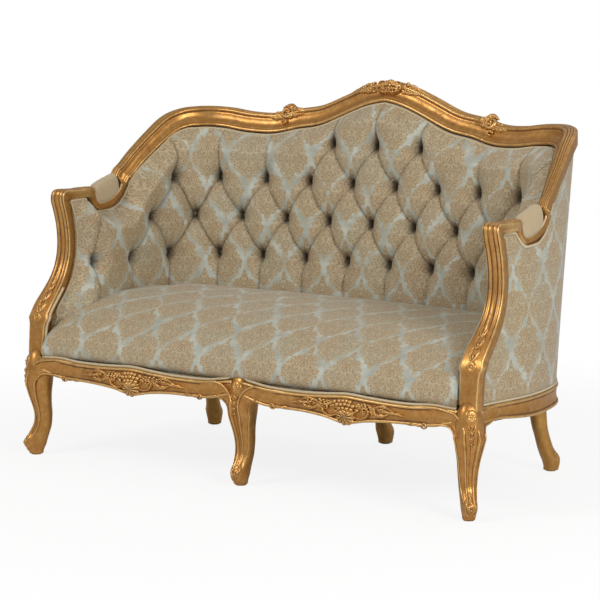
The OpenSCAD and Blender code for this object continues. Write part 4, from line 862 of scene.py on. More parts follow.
def tufting(k, z):
    """Depth of the padding's face from the outer wall, and the painted shade laid in its creases, pits and
    dents.
    """
    u = reach_of(k)
    swell, gap = puff(u / PITCH, (z - FIRST_ROW) / ROW_H)
    open_part = np.ones_like(u)
    pit, pucker = np.zeros_like(u), np.zeros_like(u)
    for p, q in BUTTONS:
        du, dz = u - p * PITCH, z - (FIRST_ROW + q * ROW_H)
        open_part *= 1 - pull(du, dz, DENT)
        pit = np.maximum(pit, pull(du, dz, PIT))
        away, turn = np.hypot(du, dz), np.arctan2(dz, du)
        rays = np.exp(-((away - PUCKER_R) / PUCKER_W) ** 2) * np.cos(turn * 12 + 1.3 * p + q)
        pucker = pucker + rays * np.clip(0.6 + 0.5 * np.sin(turn), 0, 1)
    edge = CREST_W * width_share(k) - PAD_TUCK
    front_k = front_share(z, PAD_DEPTH / 2)
    stump_side = STUMP_X - stump_half_w(np.clip(z, RAIL_TOP, STUMP_TOP))
    at_stump = wall(front_k, z)[..., 0] - stump_side - 1.0
    to_front = reach_of(front_k) - abs(u)
    edge = mix(edge, at_stump, np.clip(1 - to_front / BLEND_FRONT, 0, 1))
    rise = np.sin(np.pi / 2 * np.clip((rail_under(k, 1) - CLEAR - z) / ROLL_TOP, 0, 1))
    run = np.sin(np.pi / 2 * np.clip(to_front / ROLL_FRONT, 0, 1))
    crease = np.exp(-(gap / PLEAT_W) ** 2)
    body = PAD_DEPTH + SWELL * (0.66 * open_part + 0.34 * swell ** 0.8)
    body = body - PIT_DEPTH * pit + PUCKER_LIFT * pucker
    fold = (PLEAT_DEPTH * crease + VALLEY_DEPTH * np.exp(-gap / VALLEY_W)) * (0.35 + 0.65 * rise * run)
    depth = mix(edge, body, rise * run) - fold
    # Painted shade: darkest in the button pits, dark along the pleats and in the dents, a little where the
    # puckers fold in.
    painted_shade = 0.45 * np.exp(-(gap / 2.0) ** 2) * (0.4 + 0.6 * run) + 0.9 * pit + 0.3 * (1 - open_part) ** 3
    return depth, np.clip(painted_shade + 0.10 * np.maximum(-pucker, 0), 0, 0.92)


def sealed(face, back, row):
    """Rings of a thick sheet, each end drawn in from face to back so that a curved end keeps its line.
    row gives, for each row of the face, the row of the back behind it."""
    first, last = (np.concatenate([back[i][row], back[i]])[None] for i in (0, -1))
    return np.concatenate([first, np.concatenate([face, back], axis=1), last])


def padding():
    """The buttoned lining of the back and both arms, as one closed piece."""
    columns, rows = 640, 150
    share = np.linspace(-1, 1, columns + 1)[:, None]
    v = np.linspace(0, 1, rows)[None, :]
    front = front_share(np.float64(STUMP_TOP - 40), PAD_DEPTH / 2)
    top = rail_under(share * front, 1) - CLEAR
    z = mix(PAD_LOW, top, v)
    for _ in range(2):
        k = share * front_share(z, PAD_DEPTH / 2)
        z = mix(PAD_LOW, np.minimum(rail_under(k, 1) - CLEAR, top + 30), v)
    depth, painted_shade = tufting(k, z)
    face = wall(k, z, depth)
    hollow = np.where(abs(share[:, 0]) < 0.62, BACK_HOLLOW, ARM_HOLLOW)
    behind = np.rint(np.linspace(rows - 1, 0, 30)).astype(int)
    row = np.argmin(abs(np.arange(rows)[:, None] - behind[None, :]), axis=1)
    back = wall(k[:, behind], z[:, behind], np.minimum(hollow[:, None], depth[:, behind] - 4))
    uv = np.stack([reach_of(k), z], axis=-1) / 1000
    # The crease attribute carries this painted shade to the damask.
    marks = {"crease": sealed(painted_shade, painted_shade[:, behind], row)}
    return loft(sealed(face, back, row), uv=sealed(uv, uv[:, behind], row), marks=marks)


BUTTON_R, BUTTON_SHADE = 0.0112, 0.45


def covered_buttons():
    """Cloth-covered domes set in the pits."""
    out = None
    for p, q in BUTTONS:
        z = FIRST_ROW + q * ROW_H
        k = np.sign(p) * np.interp(abs(p * PITCH), ARC_U, ARC_K)
        depth, _ = tufting(np.array([k]), np.array([z]))
        a, b = wall(k, z, depth[0] + 1.5), wall(k, z, depth[0] + 2.5)
        axis = Vector(b - a).normalized()
        bm = bmesh.new()
        bmesh.ops.create_uvsphere(bm, u_segments=20, v_segments=10, radius=BUTTON_R)
        bmesh.ops.scale(bm, vec=(1, 1, 0.55), verts=bm.verts)
        for v in bm.verts:
            turn = math.atan2(v.co.y, v.co.x)
            edge = min(1, math.hypot(v.co.x, v.co.y) / BUTTON_R)
            v.co.z *= 1 - 0.10 * edge * (0.5 + 0.5 * math.cos(turn * 10))
        # Painted shade: each button is darkened by BUTTON_SHADE through the crease attribute.
        layer, shaded = bm.loops.layers.uv.verify(), bm.verts.layers.float.new("crease")
        for v in bm.verts:
            v[shaded] = BUTTON_SHADE
        for loop in (loop for f in bm.faces for loop in f.loops):
            loop[layer].uv = (p * PITCH / 1000 + loop.vert.co.x, z / 1000 + loop.vert.co.y)
        bmesh.ops.transform(bm, matrix=axis.to_track_quat("Z", "Y").to_matrix().to_4x4(), verts=bm.verts)
        bmesh.ops.translate(bm, vec=to_part(a), verts=bm.verts)
        out = bm if out is None else join(out, bm)
    return out


# Seat
SEAT_FRONT = [(0.03, 0.02), (0, 0.12), (0.006, 0.28), (0.05, 0.46), (0.1, 0.58), (0.18, 0.72), (0.28, 0.84),
              (0.4, 0.92), (0.56, 0.98), (0.7, 1), (0.85, 0.995)]
SEAT_FRONT_Y = FRONT_Y - PROUD + LIP_W - 8
SEAT_REACH = LOW_DEPTH - PAD_DEPTH
SEAT_SIDE_X = STUMP_X - STUMP_HALF_W * 1.4 - 0.3


def seat_column(t, rear_k):
    """Points of the seat's crown from its front lower edge to where it meets the back."""
    front_x = np.sign(t) * SEAT_SIDE_X * (1 - (1 - abs(t)) ** 2.3)
    draw = math.sin(math.pi / 2 * min(1, (1 - abs(t)) * 8))
    back = wall(t * rear_k, SEAT_H, mix(ARM_RAIL_W * 1.4, PAD_DEPTH + SWELL, draw) + 2)
    rise = SEAT_H + SEAT_CROWN - CUSHION_Z
    points = [(front_x, SEAT_FRONT_Y + SEAT_FRONT[0][0] * SEAT_REACH, CUSHION_Z)]
    for a, b in SEAT_FRONT:
        y = SEAT_FRONT_Y + a * SEAT_REACH
        if y < back[1] - 14:
            f = min(1, max(0, (y - SEAT_FRONT_Y) / (back[1] - SEAT_FRONT_Y)))
            points.append((mix(front_x, back[0], f), y, CUSHION_Z + b * rise - SEAT_CROWN * abs(t) ** 4))
    shares = np.array(SEAT_FRONT)
    level = np.interp((back[1] - SEAT_FRONT_Y) / SEAT_REACH, shares[1:, 0], shares[1:, 1])
    points.append((back[0], back[1], min(SEAT_H, CUSHION_Z + rise * level) - 4))
    return points


def seat():
    """The sprung seat: crowned, full over the front rail, tucked in at the back and arms."""
    columns, rows = 260, 90
    rear_k = float(front_share(np.float64(SEAT_H), PAD_DEPTH / 2))
    rings, places = [], []
    for t in np.linspace(-1, 1, columns + 1):
        line = along(seat_column(t, rear_k), np.linspace(0, 1, rows))
        end = wall(t * rear_k, CUSHION_Z, ARM_RAIL_W * 1.4 + 2 if abs(t) > 0.98 else PAD_DEPTH + SWELL + 2)
        length = lengths(line[:, 1:])
        x, y, _ = line.T
        waves = 0.8 * np.sin(x / 47 + y / 90) + 0.5 * np.sin(x / 21 - y / 37)
        ease = np.sin(np.pi * np.linspace(0, 1, rows)) ** 0.5
        line[:, 2] += waves * ease * 0.8
        low = [(end[0], end[1], CUSHION_Z), (line[0, 0], line[0, 1] + 4, CUSHION_Z - 0.01)]
        rings.append(np.concatenate([line, low]))
        under = [(line[-1, 0], length[-1] + 60), (line[0, 0], 0)]
        places.append(np.concatenate([np.stack([line[:, 0], length + 40], axis=-1), under]))
    return loft(np.array(rings), uv=np.array(places) / 1000)


# Arm pads, outside cloth, braid
PAD_RISE, PAD_CROWN = 763.6 - ARM_H + 18, [0.1, 0.34, 0.5, 0.64, 0.76, 0.88, 0.96]


def arm_pad():
    """A plain pad filling the arm's dip, round over the top and drawn in at its edges."""
    f = np.linspace(0, 1, 64)
    y = mix(STEP_BACK + 4, DIP_LOW + 84, f)
    dip = along(DIP_UPPER, np.linspace(0, 1, 21))
    low = np.interp(y, dip[:, 0] + np.arange(21) * 0.001, ARM_H - dip[:, 1]) + 0.3
    crown = ARM_H + PAD_RISE * (along(PAD_CROWN, f) - PAD_CROWN[0])
    high = np.maximum(low + 4, crown)
    ends = np.sqrt(np.clip(1 - np.clip(1 - np.minimum(f, 1 - f) / 0.14, 0, 1) ** 2.2, 0.02, 1))
    w = ARM_RAIL_W / 2 * (0.92 + 0.1 * np.sin(np.pi * f)) * (0.55 + 0.45 * ends)
    high = low + (high - low) * ends
    a = np.linspace(math.radians(-8), math.radians(188), 34)
    across, lift = np.cos(a), np.sin(a)
    side = np.sign(across) * abs(across) ** 0.62
    up = np.clip(lift, 0, 1) ** 0.72
    x = ARM_MIDDLE + w[:, None] * side * (1.02 - 0.05 * (up < 0.02))
    return loft(stack(x, y[:, None], low[:, None] + (high - low)[:, None] * up))


def outside_back():
    """Plain-sewn damask over the outside of the back."""
    k = np.linspace(0.0005 - CLOTH_SEAM, CLOTH_SEAM - 0.0005, 121)[:, None]
    z = mix(RAIL_TOP + LIP_H + CLEAR, rail_under(k, OUTSIDE_PART) - CLEAR, np.linspace(0, 1, 40)[None, :])
    return panel(k + 0 * z, z)


def outside_arm():
    """Damask over the outside of an arm, from the back's edge to the stump."""
    f = np.linspace(0, 1, 61)[:, None]
    v = np.linspace(0, 1, 36)[None, :]
    k = mix(CLOTH_SEAM, front_share(np.float64(STUMP_TOP), CLOTH_IN), f)
    z = mix(RAIL_TOP + LIP_H + CLEAR, rail_under(k, OUTSIDE_PART) - CLEAR, v)
    return panel(mix(CLOTH_SEAM, front_share(z, CLOTH_IN), f), z)


def panel(k, z):
    """A closed sheet 8 mm thick, full in its middle, that lies 6 mm in from the wall."""
    u, v = np.linspace(0, 1, k.shape[0])[:, None], np.linspace(0, 1, k.shape[1])[None, :]
    full = 3.0 * (np.sin(np.pi * u) * np.sin(np.pi * v)) ** 0.6
    face = wall(k, z, CLOTH_IN - full)
    back = wall(k, z, CLOTH_BACK)[:, ::-1]
    uv = np.stack([reach_of(k) * 1.08, z], axis=-1) / 1000
    row = np.arange(k.shape[1])[::-1]
    return loft(sealed(face, back, row), uv=sealed(uv, uv[:, ::-1], row))


def ribbon(points, outs, wide, thick):
    """A flat braid along points whose face looks along outs; u runs along it and v across, in metres."""
    points, outs = np.asarray(points, float), unit(np.asarray(outs, float))
    run = unit(np.gradient(points, axis=0))
    side = unit(np.cross(run, outs))
    outs = np.cross(side, run)
    c, s = round_about(12)
    r = squared(c, s, 4)
    across, out = c * r * wide / 2, s * r * thick / 2
    rings = points[:, None] + side[:, None] * across[None, :, None] + outs[:, None] * out[None, :, None]
    uv = np.stack(np.broadcast_arrays(lengths(points)[:, None], across[None, :]), axis=-1)
    return loft(rings, uv=uv / 1000)


BRAID_INSET = 20


def facing(k, z):
    """Direction out of the wall, as long as the step that finds it."""
    return wall(k, z) - wall(k, z, BRAID_INSET)


def edge_line(depth, part, drop, low_z, short, count):
    """Shares and heights along a cloth's edge: up behind a stump, under the top rails and down again."""
    end = float(front_share(np.float64(STUMP_TOP - 6), depth)) - short
    z = np.linspace(STUMP_TOP - 6, low_z, 90)
    down_k = front_share(z, depth) - short
    k = np.linspace(-end, end, count)
    sides = np.stack([-down_k, z], axis=-1)[::-1], np.stack([down_k, z], axis=-1)
    line = np.concatenate([sides[0], np.stack([k, rail_under(k, part) - drop], axis=-1), sides[1]])
    return smoothed(line, 3).T


def lining_braid():
    """Gimp along the lining's edge, where its face meets the wood."""
    k, z = edge_line(PAD_DEPTH / 2, 1, 3.5, 318, 0.004, 620)
    return ribbon(wall(k, z, tufting(k, z)[0] - 0.5), -facing(k, z), wide=7.5, thick=3.2)


def outside_braid():
    """Gimp round the outside cloth: under the top rails and along the seat rails."""
    out, rail = CLOTH_IN - 1.4, RAIL_TOP + LIP_H
    k, z = edge_line(CLOTH_IN, OUTSIDE_PART, 3.2, rail + 4, 0.003, 600)
    upper = ribbon(wall(k, z, out), facing(k, z), wide=7.5, thick=3.0)
    k = np.linspace(-k[-1], k[-1], 420)
    low = np.full_like(k, rail + 3.4)
    return join(upper, ribbon(wall(k, low, out), facing(k, low), wide=7.0, thick=3.0))


def seat_braid():
    """Gimp on the front rails' lips, rising over the centre knee."""
    x = np.linspace(-SPAN_TO - 2, SPAN_TO + 2, 420)
    g = np.clip((abs(x) - SPAN_FROM) / (SPAN_TO - SPAN_FROM), 0, 1)
    z = smoothed(np.maximum(span_high(g) + 2.4, 309 - 34 * (abs(x) / 36) ** 2.2), 6)
    line = stack(x, span_face(g) + LIP_W - 5.5, z)
    return ribbon(line, np.tile((0, -0.75, 0.66), (len(x), 1)), wide=8.0, thick=3.0)


def arm_braid():
    """Gimp along both edges of an arm pad."""
    dip = along(DIP_UPPER, np.linspace(0.12, 0.97, 60)) * (1, -1) + (0, ARM_H + 1.4)
    return join(*(ribbon(stack(ARM_MIDDLE + s * (ARM_RAIL_W / 2 - 2.6), dip[:, 0], dip[:, 1]),
                         np.tile((s * 1.0, 0, 0.35), (len(dip), 1)), wide=6.0, thick=2.8) for s in (1, -1)))


def stump_braid():
    """Gimp down the inner edge of a stump, between its block and the seat."""
    z = np.linspace(292, 470, 90)
    y = stump_front(z) + mix(9.0, 14.0, np.clip((z - 380) / 60, 0, 1))
    points = smoothed(stack(STUMP_X - stump_half_w(z) - 3.0, y, z), 4)
    return ribbon(points, np.tile((-0.25, -1.0, 0.0), (len(z), 1)), wide=8.0, thick=3.0)


# Carving
def laid(middle, way, *places):
    """Places whose first measure runs one way from the middle."""
    return [(middle + way * a, b) for a, b in places]


def beside(path):
    """Direction to the left of a path at each of its points."""
    run = unit(np.gradient(path, axis=0))
    return np.stack([-run[:, 1], run[:, 0]], axis=-1)


def blade(ground, line, half_width, crown, lobes=0, veins=0, steps=40):
    """A carved leaf or ribbon: line is its midrib; half_width and crown run from its root to its tip."""
    t = np.linspace(0, 1, steps)
    path = along(line, t)
    w = np.maximum(along(half_width, t), 0.2) * (1 + 0.22 * np.sin(t * lobes * 2 * np.pi))
    c = along(crown, t)
    s = np.linspace(-1, 1, 15)
    rib = (1 - abs(s) ** 2.2)[None, :] * c[:, None]
    if veins:
        rib = rib - 0.22 * c[:, None] * np.exp(-(s / 0.12) ** 2)[None, :]
        furrow = 0.5 + 0.5 * np.cos(2 * np.pi * (veins * t[:, None] - 1.2 * abs(s)[None, :]))
        rib = rib - 0.16 * c[:, None] * furrow * (1 - abs(s)[None, :] ** 4)
    ab = path[:, None] + beside(path)[:, None] * (s[None, :] * w[:, None])[..., None]
    face, edges = ground(ab[..., 0], ab[..., 1], rib), ab[:, ::-1][:, [0, -1]]
    low = ground(edges[..., 0], edges[..., 1], np.full((steps, 2), -BURIED))
    return loft(np.concatenate([face, low], axis=1))


def mound(ground, place, size, height, turn=0.0, around=24, petals=0, notch=0.16, dish=0.0, rings=9):
    """A carved boss, berry, shell or flower on the ground; petals cut its edge and furrow its face."""
    a = np.linspace(0, 2 * np.pi, around, endpoint=False)
    cut = 0.5 - 0.5 * np.cos(petals * a)
    edge = 1 - notch * cut ** 2
    c, s = math.cos(turn), math.sin(turn)

    def ring(r, lift):
        x, y = size[0] * r * edge * np.cos(a), size[1] * r * edge * np.sin(a)
        return ground(place[0] + x * c - y * s, place[1] + x * s + y * c, np.broadcast_to(lift, a.shape))
    out = []
    for i in range(rings):
        r = math.sin(math.pi / 2 * (i + 0.35) / (rings - 0.65))
        lift = height * math.sqrt(max(0, 1 - r * r)) * (1 - 0.30 * cut * min(1, r * 1.6))
        sunk = dish * height * math.exp(-(r / 0.45) ** 2) - dish * height * 0.9 * math.exp(-(r / 0.16) ** 2)
        out.append(ring(r, lift - sunk))
    return loft(np.array(out + [ring(1, -BURIED)]))


def curl(ground, centre, radius, start, turns, thick, height, hand=1):
    """A scroll that winds inwards from its tail to its eye."""
    t = np.linspace(0, 1, 54)
    r = radius * (1 - 0.80 * t)
    a = math.radians(start) + hand * turns * 2 * np.pi * t
    path = np.stack([centre[0] + r * np.cos(a), centre[1] + r * np.sin(a)], axis=-1)
    w = thick * (0.35 + 0.65 * np.sin(np.pi * np.clip(t * 1.15, 0.04, 1)) ** 0.7)
    c, s = round_about(12)
    ab = path[:, None] + beside(path)[:, None] * (c[None, :] * w[:, None])[..., None]
    lift = height * (0.35 + 0.65 * (w / thick))[:, None] * s[None, :]
    eye = mound(ground, centre, (radius * 0.27, radius * 0.27), height * 1.25, around=12, rings=6)
    return join(loft(ground(ab[..., 0], ab[..., 1], lift)), eye)


def flower(ground, place, radius, height, petals=6, turn=0.0):
    """Open petals round a berry."""
    parts = []
    for i in range(petals):
        a = turn + 2 * math.pi * i / petals
        middle = (place[0] + 0.56 * radius * math.cos(a), place[1] + 0.56 * radius * math.sin(a))
        petal = radius * 0.48, radius * 0.33
        parts.append(mound(ground, middle, petal, height * 0.7, a, around=14, rings=6, dish=0.3))
    parts.append(mound(ground, place, (radius * 0.3, radius * 0.3), height * 1.2, around=12, rings=6))
    return join(*parts)


CREST_ARC_K = np.linspace(0, 0.4, 161)
CREST_ARC = lengths(crest_point(CREST_ARC_K))


def crest_ground(a, b, h):
    """Face of the crest: a along it from the middle, b down from its top inner edge, h out of the face."""
    a, b, h = aligned(a, b, h)
    k = np.sign(a) * np.interp(abs(a), CREST_ARC, CREST_ARC_K)
    p, out, up = crest_axes(k)
    down = np.clip(b, -40, 60)[..., None]
    face = p + out * (-31 - 0.50 * down) + up * (-1.5 - 0.86 * down)
    return face + (out * -0.86 + up * 0.5) * h[..., None]


def cluster(ground, line, half_width, size, height, count, seed):
    """Berries and small leaves crowded along a line, thinning towards its end."""
    chance = np.random.default_rng(seed)
    parts = []
    for i in range(count):
        t = (i + 0.5) / count
        p = along(line, np.float64(t))
        run = unit(along(line, np.float64(min(1, t + 0.02))) - along(line, np.float64(max(0, t - 0.02))))
        n = np.array((-run[1], run[0]))
        w = float(along(half_width, np.float64(t)))
        p = p + n * w * (((i * 0.618) % 1) * 2 - 1)
        r = size * mix(1.0, 0.6, t) * chance.uniform(0.8, 1.15)
        if i % 3 == 2:
            turn = math.atan2(run[1], run[0]) + chance.uniform(-0.8, 0.8)
            d = np.array((math.cos(turn), math.sin(turn)))
            m = np.array((-d[1], d[0])) * chance.uniform(-0.4, 0.4)
            midrib = [p - d * r * 1.2, p + m * r, p + d * r * 1.2 + m * r, p + d * r * 2.3]
            parts.append(blade(ground, midrib, [r * 0.3, r * 0.75, r * 0.65, r * 0.12],
                               [height * 0.5, height, height * 0.8, height * 0.3], veins=3, steps=18))
        else:
            lift = height * chance.uniform(0.75, 1.1)
            parts.append(mound(ground, tuple(p), (r, r), lift, around=12, rings=6))
    return join(*parts)


def cartouche():
    """Two scrolls clasping a bud at the crest's middle, with berries and leaves thinning to each side."""
    g = crest_ground
    parts = [mound(g, (0, 3), (10, 12), 8.5, petals=5, around=40),
             mound(g, (0, 18), (6, 6), 7, around=14, rings=7),
             mound(g, (0, 29), (5, 5), 6, around=12),
             mound(g, (0, -4), (7, 6), 7, petals=3, around=24),
             blade(g, [(-44, 5), (-16, -1), (16, -1), (44, 5)],
                   [3, 6, 6, 3], [3, 6, 6, 3], lobes=6, veins=9)]
    for s in (1, -1):
        parts += [blade(g, laid(0, s, (4, 30), (22, 31), (38, 22), (43, 8), (34, -4), (20, -4), (15, 4)),
                        [3.0, 3.6, 3.8, 3.6, 3.2, 2.6, 1.8], [7, 8.5, 8.5, 8.5, 8, 7, 5], steps=70),
                  curl(g, (s * 12, 25), 8.5, 90 - s * 60, 1.1, 2.4, 7, hand=-s),
                  mound(g, (s * 27, 13), (7, 9), 5.5, petals=5, around=30),
                  mound(g, (s * 50, 5), (6, 9), 6.5, petals=3, around=24, turn=s * 0.6),
                  cluster(g, laid(0, s, (56, 5), (80, 4), (104, 3), (128, 1)),
                          [15, 12, 8, 2], 5.0, 5.5, 36, 3),
                  blade(g, laid(0, s, (50, 22), (78, 17), (108, 9), (150, 1)),
                        [3, 4.5, 3.5, 0.8], [3.5, 5, 4, 0.6], lobes=4, veins=8),
                  blade(g, laid(0, s, (52, -8), (80, -7), (110, -4), (146, -1)),
                        [2.5, 4.5, 3.5, 0.8], [3, 4.5, 3.5, 0.6], lobes=4, veins=8)]
    return join(*parts)


def shoulder_scroll():
    """The crest's moulding ends in a scroll that hooks over the wing."""
    g = crest_ground
    at = float(np.interp(SHOULDER, CREST_ARC_K, CREST_ARC))
    return join(
        curl(g, (at - 2, 0), 20, 200, 1.2, 6.0, 9.5, hand=-1), curl(g, (at + 8, 27), 8, 60, 1.0, 2.8, 6),
        blade(g, laid(at, 1, (-78, 6), (-46, 2), (-24, -8), (-6, -19), (12, -17)),
              [2, 9, 11, 9, 3], [2, 7, 8, 8, 4], lobes=2, veins=6),
        blade(g, laid(at, 1, (-60, 16), (-40, 15), (-20, 14), (-8, 20)),
              [1, 6, 7, 3], [2, 5, 6, 4], lobes=2.5, veins=5),
        blade(g, laid(at, 1, (4, 16), (22, 12), (44, 10), (66, 6)),
              [4, 8, 7, 1.5], [4, 6, 5, 2], lobes=2.5, veins=5),
        blade(g, laid(at, 1, (4, -4), (18, -3), (34, -2), (48, -2)),
              [4, 6, 5, 1.2], [4, 6, 5, 2], lobes=2, veins=4),
        mound(g, (at + 14, 25), (4, 4), 5, around=12))


def rail_ground(a, b, h):
    """Face of the right-hand front rail: a along x, b up."""
    a, b, h = aligned(a, b, h)
    g = np.clip((a - SPAN_FROM) / (SPAN_TO - SPAN_FROM), 0, 1)
    return stack(a, span_face(g) + 1.8 - h, b)


def rail_carving():
    """A shell under berries at mid-span, sprays of leaves and flowers, and a small scroll by each leg."""
    g, m = rail_ground, (SPAN_FROM + SPAN_TO) / 2
    parts = [mound(g, (m, 229), (31, 23), 11, petals=11, around=88, notch=0.14, dish=0.12, rings=12),
             blade(g, laid(m, 1, (-36, 246), (-16, 240), (16, 240), (36, 246)),
                   [2, 5, 5, 2], [4, 9, 9, 4], lobes=6, veins=6)]
    for row, (z, count, r) in enumerate(((272, 4, 6.0), (262.5, 5, 6.6), (252, 4, 6.6), (243, 3, 6))):
        for i in range(count):
            dx = (i - (count - 1) / 2) * 2.0 * r * 0.94
            place, lift = (m + dx, z - abs(dx) * 0.12), 9 if row < 3 else 11
            parts.append(mound(g, place, (r, r), lift, around=14, rings=7))
    for s in (1, -1):
        parts += [
            blade(g, laid(m, s, (30, 233), (46, 229), (66, 236), (72, 250), (60, 258)),
                  [2.5, 4, 4.5, 4, 2.5], [5, 7, 7, 6, 4], steps=54),
            curl(g, (m + s * 62, 250), 8.5, 90 - s * 20, 1.0, 2.6, 6, hand=s),
            cluster(g, laid(m, s, (34, 258), (54, 262), (80, 262), (112, 259)),
                    [9, 8, 6, 3], 5.0, 6.0, 20, 5),
            flower(g, (m + s * 84, 252), 10, 7, 6, 0.3), flower(g, (m + s * 118, 256), 7.5, 6, 5, 0.5),
            blade(g, laid(m, s, (88, 250), (104, 243), (122, 245), (138, 252)),
                  [3, 6.5, 5, 1], [4, 6.5, 5, 2], lobes=2.5, veins=5),
            blade(g, laid(m, s, (92, 262), (112, 268), (130, 265), (146, 257)),
                  [3, 5.5, 4.5, 1], [4, 6, 5, 2], lobes=2.5, veins=5),
            blade(g, laid(m, s, (122, 255), (142, 254), (160, 252), (184, 249)),
                  [3, 6, 4.5, 0.8], [4, 6, 4.5, 1.5], lobes=3, veins=6)]
    for x, s in ((122, 1), (598, -1)):
        parts += [curl(g, (x, 233), 9.5, 90 - s * 120, 1.05, 3.0, 6, hand=-s),
                  blade(g, laid(x, s, (8, 232), (26, 232), (46, 232), (70, 230)),
                        [3.5, 5, 4, 1], [4, 5, 3.5, 1.5], lobes=2, veins=4)]
    return join(*parts)


KNEE_DOME = 74.0


def leg_at(z, corner):
    """Depth, width and sway of a front leg at a height; above the rail's underside it is the knee."""
    f = np.clip((z - SOLE_H) / (RAIL_LOW - SOLE_H), 0, 1)
    over = np.clip((z - RAIL_LOW) / KNEE_DOME, 0, 1)
    dome = np.sqrt(np.maximum(1 - over ** 2.6, 0.0))
    grow = 1 - 0.08 * np.clip(over * 2, 0, 1)
    return (KNEE_DEPTH * fine(LEG_HEIGHT, LEG_DEPTH, f) * dome * grow,
            KNEE_W * fine(LEG_HEIGHT, LEG_WIDTH, f) * dome * grow,
            KNEE_DEPTH * fine(LEG_HEIGHT, LEG_SWAY, f) + (4 if corner else 0) + 3 * over)


def post_place(corner):
    """Middle of a front leg's post, and the angle that the leg faces."""
    return (LEG_X, FRONT_Y + POST_W / 2, -45) if corner else (0.0, FRONT_Y + CENTRE_POST_W / 2, -90)


def knee_ground(corner):
    """Outer face of a front leg: a across it, b up."""
    def ground(a, b, h):
        a, b, h = aligned(a, b, h)
        d, w, s = leg_at(b, corner)
        q = np.clip(abs(a) / np.maximum(w / 2, 1), 0, 0.97)
        return stack(*turned(*post_place(corner), s + d / 2 * (1 - q ** LEG_ROUND) ** 0.4 + h, a), b)
    return ground


def leg_core(corner):
    """The cabriole leg from sole to domed knee, with its arris panel sunk between the side mouldings."""
    dome = RAIL_LOW + KNEE_DOME * np.sin(np.linspace(0.03, 1, 22) * np.pi / 2)
    z = np.concatenate([[0, 1, SOLE_H], np.linspace(SOLE_H + 0.5, RAIL_LOW, 84), dome])
    d, w, s = leg_at(z, corner)
    c, q = round_about(96)
    r = squared(c, q, LEG_ROUND)
    u = d[:, None] / 2 * (c * r)[None, :]
    u = np.where((u < 0) & (z[:, None] > RAIL_LOW), u * 0.5, u)
    v = w[:, None] / 2 * (q * r)[None, :]
    sole = SOLE_R * np.array([0.93, 1, 1])[:, None]
    u[:3], v[:3], s[:3] = sole * c, sole * q, s[2]
    return loft(stack(*turned(*post_place(corner), u + s[:, None], v), z[:, None]))


def moulding(points, outs, half_width, lift):
    """A strip with a bead along each edge and a hollow between, laid along points and facing outs."""
    t = np.linspace(0, 1, 150)
    p, n = along(points, t), unit(along(outs, t))
    run = unit(np.gradient(p, axis=0))
    side = unit(np.cross(run, n))
    n = np.cross(side, run)
    w, l = along(half_width, t), along(lift, t)
    bead = [(-0.14 * math.cos(math.radians(a)), math.sin(math.radians(a))) for a in range(15, 166, 25)]
    section = [(-1, -20, 0), (-1, 0, 0)] + [(a - 0.86, 0, b) for a, b in bead] + [(-0.70, 0, -0.25)]
    section += [(-0.66 + 1.32 * i / 10, 0, -0.15 - 0.75 * math.sin(math.pi * i / 10)) for i in range(11)]
    section += [(0.70, 0, -0.25)] + [(a + 0.86, 0, b) for a, b in bead] + [(1, 0, 0), (1, -20, 0)]
    across, deep, proud = np.array(section).T[:, None, :, None]
    height = deep + proud * (3.4 * (w / 24) ** 0.55)[:, None, None] + l[:, None, None]
    return loft(p[:, None] + side[:, None] * (across * w[:, None, None]) + n[:, None] * height)


def leg_side_place(corner, hand, z, angle):
    """Point and outward direction on a front leg's side, angle degrees round from its arris."""
    d, w, s = (float(v) for v in leg_at(np.float64(z), corner))
    a = math.radians(angle)
    c, q = math.cos(a), math.sin(a) * hand
    r = squared(c, q, LEG_ROUND)
    nu, nv = abs(c) ** 1.5 / d, abs(q) ** 1.5 * np.sign(q) / w
    size = math.hypot(nu, nv)
    x, y, turn = post_place(corner)
    return ((*turned(x, y, turn, s + d / 2 * c * r, w / 2 * q * r), z),
            (*turned(0, 0, turn, nu / size, nv / size), 0.0))


